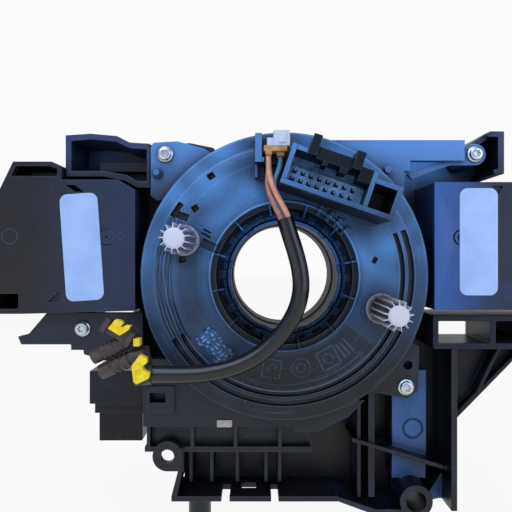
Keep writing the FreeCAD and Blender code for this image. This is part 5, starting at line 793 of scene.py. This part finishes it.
def disc_ring(inner, outer, rows):
    """Face points from the inner to the outer radius, then the rim and the back, closed to a solid ring."""
    angle = np.linspace(0, TAU, DISC_COLUMNS, endpoint=False)[None, :]
    radius = np.linspace(inner, outer, rows)[:, None]
    radius, angle = np.broadcast_arrays(radius, angle)
    height, x, z = disc_height(radius, angle)
    depth, floor = disc_cuts(x, z)
    signs = plain_signs(radius, angle)
    y = depth - height - 0.3 * signs - floor * 0.3 * ripple_and_glint(x, z)
    face = np.stack([x, np.minimum(y, DISC_BACK - 0.1), z], -1)
    shade = disc_shade(radius, angle, x, z, y, signs, floor)
    backs = np.stack([x[[-1, 0]], np.full((2, DISC_COLUMNS), DISC_BACK), z[[-1, 0]]], -1)
    rings = np.concatenate([face, backs])
    shade = np.concatenate([shade, np.full((2, DISC_COLUMNS), 0.5)])
    return looped(rings), np.clip(shade, 0.04, 9.0)


for name, inner, outer, rows, replaced in (("disc_inner", DISC_HOLE, DISC_SPLIT, 128, ["rotor_disc"]),
                                           ("disc_outer", DISC_SPLIT, DISC_OUT, 84, [])):
    shape, shade = disc_ring(inner, outer, rows)
    piece(name, shape, "rotor", FINISH["disc"], replaced, sharp=50, shade=shade)
print("disc: two rings of", DISC_COLUMNS, "columns")

# %% [markdown]
# ## The hub
# Inside the disc sits the sleeve that the shaft passes through. Seen from the front it is a set of rings: a
# deep black groove, a ring of fine teeth, a gap, and a bright inner lip with notches. A profile turned
# about the column axis gives the rings, and the teeth and notches are small changes of depth round the
# circle.


# %% Hub rings
HUB_COLUMNS = 1080
HUB_BACK = 32.5
hub_angle = np.linspace(0, TAU, HUB_COLUMNS, endpoint=False)
notch = pulses(hub_angle, 9, 0.2, 0.3, 0.04)
teeth = pulses(hub_angle, 150, 0.5)
blocks = pulses(hub_angle, 22, 0.55, 0.1, 0.05)
spokes = pulses(hub_angle, SPOKES, 0.085, 0.1, 0.03)
HUB_PROFILE = [     # radius, depth, tone of painted light and shade, then how far notches, teeth, blocks and spokes push it back
    (22.0, HUB_BACK, 0.05, 0, 0, 0, 0), (22.0, 30.0, 0.1, 0, 0, 0, 0), (22.05, 20.0, 0.1, 0, 0, 0, 0),
    (22.6, 19.6, 0.9, 0, 0, 0, 0), (22.6, 19.0, 0.1, 0, 0, 0, 0), (22.6, 9.0, 0.1, 0, 0, 0, 0),
    (22.1, 8.6, 1.2, 0, 0, 0, 0), (22.1, 8.2, 0.2, 0, 0, 0, 0), (22.1, 2.2, 0.2, 0, 0, 0, 0),
    (22.0, 1.5, 0.9, 0.8, 0, 0, 0), (22.1, 0.5, 1.3, 1.5, 0, 0, 0), (22.4, 0.1, 1.7, 1.5, 0, 0, 0),
    (22.9, 0.05, 1.4, 1.5, 0, 0, 0), (23.2, 0.3, 0.9, 1.3, 0, 0, 0), (23.3, 2.4, 0.08, 0, 0, 0, 0),
    (23.8, 2.4, 0.08, 0, 0, 0, 0), (23.9, 0.6, 0.7, 0, 0.4, 0.4, 0), (24.1, 0.35, 1.1, 0, 0.6, 0.5, 0),
    (25.0, 0.4, 0.9, 0, 0.6, 0.6, 0), (25.3, 0.7, 0.6, 0, 0.3, 0.6, 0), (25.5, 1.9, 0.5, 0, 0, 0, -0.9),
    (26.6, 2.0, 0.55, 0, 0, 0.5, -0.9), (26.9, 3.0, 0.1, 0, 0, 0, -1.9), (28.1, 3.0, 0.08, 0, 0, 0, -1.9),
    (28.25, 3.05, 0.08, 0, 0, 0, 0), (30.0, 3.05, 0.2, 0, 0, 0, 0), (30.0, 22.0, 0.5, 0, 0, 0, 0),
    (28.4, 22.0, 0.5, 0, 0, 0, 0), (28.4, 5.0, 0.4, 0, 0, 0, 0), (24.6, 5.0, 0.4, 0, 0, 0, 0),
    (24.6, HUB_BACK, 0.3, 0, 0, 0, 0),
]
profile = np.array(HUB_PROFILE)
hub_depth = profile[:, 1:2] + sum(profile[:, column:column + 1] * wave
                                  for column, wave in ((3, notch), (4, teeth), (5, blocks), (6, spokes)))
hub_points = circles(0, 0, profile[:, 0:1], hub_depth, hub_angle)
# Painted light and shade: each ring's tone, brighter towards one side, and painted highlights on the spokes in
# the gap.
hub_shade = np.repeat(profile[:, 2:3], HUB_COLUMNS, 1) * (0.8 + 0.2 * np.sin(hub_angle + 0.6))
hub_shade = hub_shade + (profile[:, 6:7] < 0) * spokes * 1.2
piece("hub_sleeve", looped(hub_points), "rotor", FINISH["hub"], ["rotor_hub"], sharp=40,
      shade=hub_shade)
print("hub: bore radius", profile[0, 0], "notches 9, teeth 150, spokes", SPOKES)

# %% [markdown]
# ## Blocks, prisms and washers
# Small flat-walled parts could be carved with booleans, which leave messy faces. A few plain blocks that
# touch are quicker, stay exact, and look the same once a Bevel has rounded them.


# %% Blocks and prisms
def box(x, y, z, degrees=0.0, corner=(0.0, 0.0)):
    """A block between two places on each axis, turned in the face plane and then moved to a corner."""
    points = np.array([(x[i], y[j], z[k]) for i in (0, 1) for j in (0, 1) for k in (0, 1)], float)
    c, s = math.cos(math.radians(degrees)), math.sin(math.radians(degrees))
    across, up = points[:, 0].copy(), points[:, 2].copy()
    points[:, 0] = corner[0] + across * c - up * s
    points[:, 2] = corner[1] + across * s + up * c
    return points, [[0, 1, 3, 2], [4, 6, 7, 5], [0, 4, 5, 1], [2, 3, 7, 6], [0, 2, 6, 4], [1, 5, 7, 3]]


def slab(outline, front, back):
    """A prism: an outline of X and Z places between two depths."""
    flat = np.array(outline, float)
    return capped(np.array([np.stack([flat[:, 0], np.full(len(flat), depth), flat[:, 1]], -1)
                            for depth in (front, back)]))


def ring(x, z, inner, outer, front, back):
    """A flat washer round a place on the face."""
    angle = np.linspace(0, TAU, 48, endpoint=False)
    radius = np.array([[inner], [outer], [outer], [inner]])
    return looped(circles(x, z, radius, np.array([[front], [front], [back], [back]]), angle))


print("faces of a block:", len(box((0, 1), (0, 1), (0, 1))[1]))

# %% [markdown]
# ## Wheel connector
# The socket is a thin-walled box at a slant. It could be one carved block, but walls, floor and pin insert
# as plain blocks keep its corners sharp and its cavities empty. The insert is strips between the sixteen
# pin pockets. Two black latches with a stepped bar stand over the open side.
# Their near-black finish is partly painted shade of the socket.

# %% Wheel connector
HEADER_TURN, HEADER_CORNER = -19.1, (-3.0, 35.5)
HEADER_FRONT, HEADER_WALL, HEADER_LONG, HEADER_HIGH, HEADER_END = -21.0, 1.9, 43.9, 15.4, 13.0
SPLIT, SPLIT_WALL = 31.6, 1.8
INSERT_HIGH, INSERT_FRONT, INSERT_BACK, FLOOR_FRONT = 9.1, -12.5, -6.0, -8.0
PIN_AT, PIN_PITCH, PIN_ROWS, POCKET_HALF = 4.02, 3.35, (4.0, 7.2), 0.85


def slanted(u, y, w):
    """A block given along the connector, in depth and across the connector."""
    return box(u, y, w, HEADER_TURN, HEADER_CORNER)


inner, end = HEADER_LONG - HEADER_WALL, SPLIT + SPLIT_WALL
socket = together(
    slanted((0, HEADER_LONG), (HEADER_FRONT, 0), (0, HEADER_WALL)),
    slanted((0, HEADER_WALL), (HEADER_FRONT, 0), (HEADER_WALL, HEADER_HIGH)),
    slanted((SPLIT, end), (HEADER_FRONT, 0), (HEADER_WALL, HEADER_HIGH)),
    slanted((inner, HEADER_LONG), (HEADER_FRONT, 0), (HEADER_WALL, HEADER_END)),
    slanted((end, inner), (HEADER_FRONT, 0), (HEADER_END - HEADER_WALL, HEADER_END)),
    slanted((HEADER_WALL, 7.0), (HEADER_FRONT, 0), (HEADER_HIGH - HEADER_WALL, HEADER_HIGH)),
    slanted((7.0, SPLIT), (-12.0, 0), (HEADER_HIGH - HEADER_WALL, HEADER_HIGH)),
    slanted((0.5, 6.3), (-13.0, 0), (HEADER_HIGH, 17.6)),
    slanted((end, inner), (-5.0, 0), (HEADER_WALL, HEADER_END - HEADER_WALL)),
)
rounded(piece("header_shell", socket, "rotor", FINISH["header"], ["connector_header"]), 0.2)

pockets = PIN_AT + PIN_PITCH * np.arange(8)
lefts = np.concatenate([[HEADER_WALL], pockets + POCKET_HALF])
rights = np.concatenate([pockets - POCKET_HALF, [SPLIT]])
strips = [slanted((HEADER_WALL, SPLIT), (INSERT_FRONT, INSERT_BACK), across)
          for across in ((HEADER_WALL, 3.15), (4.85, 6.35), (8.05, INSERT_HIGH))]
for row in PIN_ROWS:
    strips += [slanted((left, right), (INSERT_FRONT, INSERT_BACK), (row - POCKET_HALF, row + POCKET_HALF))
               for left, right in zip(lefts, rights)]
strips.append(slanted((HEADER_WALL, SPLIT), (FLOOR_FRONT, 0), (INSERT_HIGH, HEADER_HIGH - HEADER_WALL)))
strips.append(slanted((HEADER_WALL, SPLIT), (INSERT_BACK, 0), (HEADER_WALL, INSERT_HIGH)))
piece("header_insert", together(*strips), "rotor", FINISH["insert"])

# The near-black latches and bar are partly painted shade of the socket's inside.
latches = together(
    slanted((6.3, 9.6), (-21.6, -12.0), (13.5, 21.2)), slanted((23.4, 26.8), (-21.6, -12.0), (13.5, 20.4)),
    slanted((9.6, 23.4), (-20.4, -12.0), (12.7, 17.3)),
    slanted((26.8, SPLIT), (-20.8, -12.0), (10.0, HEADER_HIGH)),
    slanted((12.6, 14.6), (-20.4, -12.0), (11.2, 12.7)), slanted((19.4, 22.4), (-20.4, -12.0), (10.8, 12.7)),
)
rounded(piece("header_latches", latches, "rotor", FINISH["latch"]), 0.2)
print("connector: strips", len(strips), "pockets", 2 * len(pockets))

# %% [markdown]
# ## Plug seat and white plug
# The airbag lead starts at a small white nylon plug. It sits in a walled seat that is moulded on the disc
# and lies open towards the socket, with a gate below for the wires. Plain blocks give both, and a Bevel
# rounds their edges.

# %% Plug seat, white plug and its amber collar
seat = together(
    box((-12.1, -9.3), (-10.5, 0.4), (44.9, 56.2)), box((-9.3, -8.4), (-10.5, 0.4), (44.9, 46.8)),
    box((-8.4, -1.0), (-4.2, 0.4), (44.9, 46.8)), box((-9.3, -0.1), (-3.0, 0.4), (46.8, 56.2)),
    box((-12.1, -10.9), (-6.0, 0.4), (39.6, 44.9)), box((-10.9, -8.2), (-2.6, 0.4), (39.6, 44.9)),
    box((-8.2, -2.4), (-1.6, 0.4), (40.4, 44.9)),
)
rounded(piece("plug_seat", seat, "rotor", FINISH["header"]), 0.25)
plug = together(
    box((-4.9, 1.5), (-11.4, -4.4), (51.0, 57.2)), box((-7.4, -4.0), (-10.4, -4.4), (50.8, 54.4)),
    box((-2.8, 0.2), (-11.8, -11.2), (52.2, 55.8)), box((-4.2, 1.1), (-9.0, -5.0), (56.8, 57.7)),
)
rounded(piece("plug_white", plug, "rotor", FINISH["plug"], ["lead_plug"]), 0.3)
collar = together(
    box((-8.7, 0.5), (-11.0, -4.6), (49.0, 51.4)), box((-8.0, -5.4), (-11.3, -4.6), (47.5, 49.3)),
    box((-3.6, -0.4), (-9.4, -4.8), (47.5, 49.3)),
)
rounded(piece("plug_collar", collar, "rotor", FINISH["collar"]), 0.4)
print("plug seat:", len(seat[1]), "faces")

# %% [markdown]
# ## Yellow locks of the airbag plugs
# Each brown plug is held by a yellow slide with two prongs and a notch between them. Pushing points about
# by hand would blur the notch, so the slide is one flat outline in millimetres, given a depth in the plug's
# head.

# %% Yellow locks
UPPER_LOCK = [(-63.5, -15.0), (-61.3, -15.7), (-60.6, -16.6), (-61.6, -17.6), (-61.1, -18.1), (-59.8, -17.2),
              (-57.9, -17.4), (-58.9, -19.2), (-62.0, -21.1), (-66.4, -18.4)]
LOWER_LOCK = [(-54.5, -28.0), (-51.9, -29.4), (-51.9, -31.2), (-53.6, -32.3), (-53.2, -33.6), (-51.0, -34.9),
              (-51.2, -36.8), (-55.6, -39.0), (-56.8, -38.4), (-57.7, -32.3)]
upper = together(slab(UPPER_LOCK, -20.4, -17.6), box((-57.2, -54.8), (-19.4, -15.5), (-25.2, -22.4)))
lower = together(slab(LOWER_LOCK, -20.4, -17.6), ring(-55.0, -34.0, 0.55, 0.95, -20.7, -20.3))
for name, shape in (("lock_upper", upper), ("lock_lower", lower)):
    node = "squib_" + name
    rounded(piece(name, shape, "rotor", FINISH["yellow"], [node]), 0.3)
print("locks: corners", len(UPPER_LOCK), len(LOWER_LOCK))

# %% [markdown]
# ## Small marks on the boxes and the case
# Round ejector and gate marks show on the switch boxes, and a small paper sticker sits on the case's lower
# edge. A bump could fake them, but thin washers and a thin block are real geometry in the mesh.

# %% Marks and sticker
marks = together(ring(-73.4, 16.2, 0.7, 3.0, 1.9, 2.4), ring(-67.7, 16.4, 1.1, 1.5, 1.88, 2.4),
                 ring(-113.6, 16.4, 3.0, 3.3, 1.9, 2.4))
piece("box_marks", marks, "body", FINISH["switch_left"])
sticker = box((-28.5, -22.0), (9.7, 10.2), (-65.3, -62.3))
piece("case_sticker", sticker, "body", FINISH["sticker"])
print("marks: three, sticker 6.5 x 3 mm")

# %% [markdown]
# ## Drive pins
# Two white acetal pins reach into the steering wheel, which turns the disc by them. Each is a tapered core
# with thirteen thin fins and a domed tip. Fins as separate blades would leave seams, so the pin is one closed
# surface whose radius is the core's plus a narrow pulse for each fin.


# %% Drive pins
PIN_FINS, PIN_LONG, PIN_CORE, PIN_FIN, PIN_FLANGE = 13, 27.0, 3.95, 5.7, 6.3
PIN_TIP = -25.9             # in front of this depth the domed tip takes no painted shade
PIN_DEEP = 22.0             # mm over which painted shade darkens a pin towards the disc
PIN_PROFILE = np.array([    # depth, core radius and how far the fins stand out
    (-PIN_LONG, 0.6, 0), (-26.95, 2.0, 0), (-26.8, 3.0, 0), (-26.4, 3.6, 0), (-26.0, 3.85, 0.2),
    (-25.6, PIN_CORE, 0.8), (-25.2, PIN_CORE, 1.0), (-20.0, 4.0, 1.0), (-14.0, 4.05, 1.0), (-8.0, 4.1, 1.0),
    (-3.0, 4.15, 1.0), (-1.7, 4.2, 1.0), (-1.6, 6.0, 0), (-1.4, PIN_FLANGE, 0), (-0.2, PIN_FLANGE, 0),
    (3.0, 4.0, 0),
])


def drive_pin(name, x, z, node, turn):
    """Rings along the pin: radius = core + a pulse for each fin. Places between the fins and towards the disc
    take painted shade.
    """
    angle = np.linspace(0, TAU, PIN_FINS * 16, endpoint=False)
    fins = pulses(angle, PIN_FINS, 0.2, turn, 0.1)
    radius = PIN_PROFILE[:, 1:2] + PIN_PROFILE[:, 2:] * (PIN_FIN - PIN_CORE) * fins
    rings = circles(x, z, radius, PIN_PROFILE[:, :1], angle)
    radius = np.hypot(rings[..., 0] - x, rings[..., 2] - z)
    # Painted shade: dark between the fins and towards the disc, none on the domed tip.
    lit = np.where(rings[..., 1] < PIN_TIP, 1.0, np.clip((radius - 4.2) / 1.1, 0.1, 1.0))
    lit = lit * np.clip(-rings[..., 1] / PIN_DEEP, 0.3, 1.0)
    piece(name, capped(rings), "rotor", FINISH[name], [node], sharp=40, shade=lit)


drive_pin("pin_left", -41.1, 14.7, "drive_pin_left", 0.1)
drive_pin("pin_right", 39.4, -13.2, "drive_pin_right", 0.35)
print("drive pins:", PIN_FINS, "fins,", PIN_LONG, "mm long")

# %% [markdown]
# ## Screws
# Four zinc-plated screws with a pressed washer and a star recess hold the clock spring and the left switch.
# A star recess could be cut out of a turned head, but here the same profile runs on into the recess, and
# its radius goes in and out six times there, which keeps the head one clean surface.


# %% Screws
SCREWS = [(-49.8, 5.0, 51.0), (51.3, 5.0, -46.7), (80.7, 6.0, 51.2), (-86.3, 10.0, -22.8)]
SCREW_PROFILE = np.array([  # radius, depth from the seat and height of the recess's lobes
    (0.3, -1.2, 0), (0.9, -1.2, 0.3), (1.0, -1.3, 0.42), (1.05, -2.3, 0.45), (1.15, -2.42, 0.45),
    (2.1, -2.4, 0), (2.5, -2.2, 0), (2.75, -1.8, 0), (2.8, -1.0, 0), (3.3, -0.75, 0), (3.45, -0.5, 0),
    (3.4, 0.0, 0), (1.75, 0.0, 0), (1.75, 11.5, 0), (1.2, 12.0, 0),
])


def screw(x, seat, z):
    """A turned profile with six lobes in the recess: radius = r + lobes times (1 + cos of 6 angles) / 2."""
    angle = np.linspace(0, TAU, 96, endpoint=False)
    radius = SCREW_PROFILE[:, :1] + SCREW_PROFILE[:, 2:] * (0.5 + 0.5 * np.cos(6 * angle))
    return capped(circles(x, z, radius, seat + SCREW_PROFILE[:, 1:2], angle))


piece("screws", together(*[screw(*place) for place in SCREWS]), "body", FINISH["zinc"],
      ["mounting_screws"], sharp=35)
print("screws:", len(SCREWS))

# %% [markdown]
# ## Labels
# A polyester label sits on each switch box: a plain film with a soft raised border where it was cut. A
# decal image would need a picture, so each is a rounded rectangle with a few rings of points inside it and
# a real thickness.


# %% Labels
LABEL_WIDE, LABEL_HIGH, LABEL_CORNER = 15.8, 44.4, 3.3


def rounded_outline(wide, high, corner):
    """A rectangle with round corners, as points going round it."""
    outline = []
    for cx, cz, start in ((1, 1, 0), (-1, 1, 90), (-1, -1, 180), (1, -1, 270)):
        turn = np.radians(np.linspace(start, start + 90, 12))
        outline.append(np.stack([cx * (wide / 2 - corner) + corner * np.cos(turn),
                                 cz * (high / 2 - corner) + corner * np.sin(turn)], -1))
    return np.concatenate(outline)


def label(name, x, z, degrees, node):
    """Rings of the outline at shrinking shares of its size, from the edge's foot to the film's middle."""
    outline = rounded_outline(LABEL_WIDE, LABEL_HIGH, LABEL_CORNER)
    c, s = math.cos(math.radians(degrees)), math.sin(math.radians(degrees))
    flat = np.stack([outline[:, 0] * c - outline[:, 1] * s, outline[:, 0] * s + outline[:, 1] * c], -1)
    rows = []
    for share, y in ((1.0, 2.0), (1.0, 1.86), (0.985, 1.76), (0.95, 1.75), (0.5, 1.75), (0.05, 1.75)):
        rows.append(np.stack([x + flat[:, 0] * share, np.full(len(flat), y), z + flat[:, 1] * share], -1))
    piece(name, capped(np.array(rows)), "body", FINISH["label"], [node], sharp=60)


label("label_left", -83.8, 12.0, 3.9, "left_label")
label("label_right", 80.5, 14.2, 0, "right_label")
print("labels:", LABEL_WIDE, "x", LABEL_HIGH, "mm")

# %% [markdown]
# ## Grips
# The stalks end in slim grips that swell towards the tip, flattened a little for the fingers. A row of
# shallow rings near the tip gives hold. A turned profile would be round, so each grip is a set of oval
# sections along the stalk, and the rings are small changes of their radius.


# %% Grips
STALK_Y, STALK_Z = 15.0, 16.0


def grip(name, node, stations, sign, ribs):
    """Sections along X: a rounded oval whose half width and half height come from the stations."""
    stations = np.array(stations)
    spans = zip(stations[:-1, 0], stations[1:, 0])
    along = np.concatenate([np.linspace(a, b, 14, endpoint=False) for a, b in spans] + [stations[-1:, 0]])
    size = np.interp(along, stations[:, 0], stations[:, 1])
    angle = np.linspace(0, TAU, 64, endpoint=False)
    low, high = ribs
    groove = 0.25 * (0.5 + 0.5 * np.sin(TAU * along / 2.4)) * between(along, low, high, 1.0)
    radius = (size - groove)[:, None] * (1 - 0.05 * np.cos(2 * angle)[None, :])
    x = np.repeat(sign * along[:, None], len(angle), 1)
    rings = np.stack([x, STALK_Y + radius * np.sin(angle), STALK_Z + radius * np.cos(angle) * 0.98], -1)
    piece(name, capped(rings), BODY_OF[node], FINISH["grip"], [node], sharp=40)


NECK = [(127.0, 5.6), (130.0, 6.2)]                 # distance from the column's axis, and radius
TIP = [(168.0, 9.3), (186.0, 8.9), (199.0, 8.2), (201.5, 7.6), (203.0, 6.2)]
RIBS, NO_RIBS = (182, 197), (0, 1)
grip("grip_left", "left_grip", NECK + [(142.0, 8.8)] + TIP, -1, RIBS)
grip("grip_right_inner", "right_grip_inner", NECK + [(142.0, 8.7), (149.4, 8.8), (150.0, 8.3)], 1, NO_RIBS)
grip("grip_right_outer", "right_grip_outer", [(160.0, 8.8), (160.6, 9.3)] + TIP, 1, RIBS)
print("grips: three")

# %% [markdown]
# ## Stage
# The part hangs in soft daylight in front of white. Brighter lamps would whiten the paper and bleach the
# part too, so the floor and the world show white only where the camera looks at them, also through glass,
# and light the part more softly. Glossy faces mirror the white floor, but in place of the white world they
# mirror a sky that darkens downwards, which gives black plastic its blue upper faces.

# %% Floor
FLOOR_Z = -126.0
FLOOR_HALF = 3.0        # metres
FLOOR_SEEN = 0.94       # share of white that the camera sees, so that the rest still shows the shadow
floor_mesh = bpy.data.meshes.new("floor")
corners = [(x * FLOOR_HALF, y * FLOOR_HALF, FLOOR_Z * MM) for x, y in ((-1, -1), (1, -1), (1, 1), (-1, 1))]
floor_mesh.from_pydata(corners, [], [(0, 1, 2, 3)])
placed("floor", floor_mesh)
paper = bpy.data.materials.new("white_paper")
tree = empty_tree(paper)
matt = add(tree, "BsdfDiffuse", {"Color": linear("#f4f4f4")})
glow = add(tree, "Emission", {"Color": linear("#fcfcfc"), "Strength": 1.0})
rays = add(tree, "LightPath")
seen = add(tree, "Math", {0: rays.outputs["Is Camera Ray"], 1: rays.outputs["Is Glossy Ray"]},
           operation="MAXIMUM")
seen = add(tree, "Math", {0: seen, 1: rays.outputs["Is Transmission Ray"]}, operation="MAXIMUM")
share = add(tree, "Math", {0: seen, 1: FLOOR_SEEN}, operation="MULTIPLY")
add(tree, "OutputMaterial", {"Surface": add(tree, "MixShader", {0: share, 1: matt, 2: glow})})
floor_mesh.materials.append(paper)
print("floor at", FLOOR_Z)

# %% World
world = bpy.data.worlds.new("daylight")
bpy.context.scene.world = world
tree = empty_tree(world)
rays = add(tree, "LightPath")
way = add(tree, "SeparateXYZ", {0: add(tree, "TexCoord").outputs["Generated"]})
height = add(tree, "MapRange", {"Value": way.outputs["Z"], "From Min": -0.45, "From Max": 0.35})
open_sky = join(tree, height, linear("#1b2130"), linear("#9cbcec"))
behind = add(tree, "MapRange", {"Value": way.outputs["Y"], "From Min": 0.1, "From Max": 0.7})
sky = join(tree, behind, open_sky, linear("#ffffff"))
mirrored = add(tree, "Background", {"Color": sky, "Strength": 0.9})
soft = add(tree, "Background", {"Color": linear("#e6ecf5"), "Strength": 0.5})
white = add(tree, "Background", {"Color": linear("#fcfcfc"), "Strength": 1.0})
first = add(tree, "MixShader", {0: rays.outputs["Is Glossy Ray"], 1: soft, 2: mirrored})
clear = add(tree, "Math", {0: rays.outputs["Is Camera Ray"], 1: rays.outputs["Is Transmission Ray"]},
            operation="MAXIMUM")
last = add(tree, "MixShader", {0: clear, 1: first, 2: white})
add(tree, "OutputWorld", {"Surface": last})
print("world: a sky for reflections, plain white for the camera")


# %% Lamps
def lamp(name, place, power, size, colour):
    """A square area lamp that faces the middle of the part."""
    light = bpy.data.lights.new(name, "AREA")
    light.energy, light.size, light.color = power, size, linear(colour)[:3]
    made = placed(name, light)
    made.location = [v * MM for v in place]
    away = -np.array(place) / np.linalg.norm(place)
    made.rotation_euler = (math.acos(-away[2]), 0, math.atan2(away[1], away[0]) - math.pi / 2)


lamp("sky_lamp", (-300, -500, 800), 6.4, 0.9, "#eef4ff")
lamp("side_lamp", (650, -600, 250), 2.6, 0.7, "#f6f8ff")
lamp("low_lamp", (-500, -700, -50), 0.9, 0.7, "#fff8f2")
print("lamps: three")
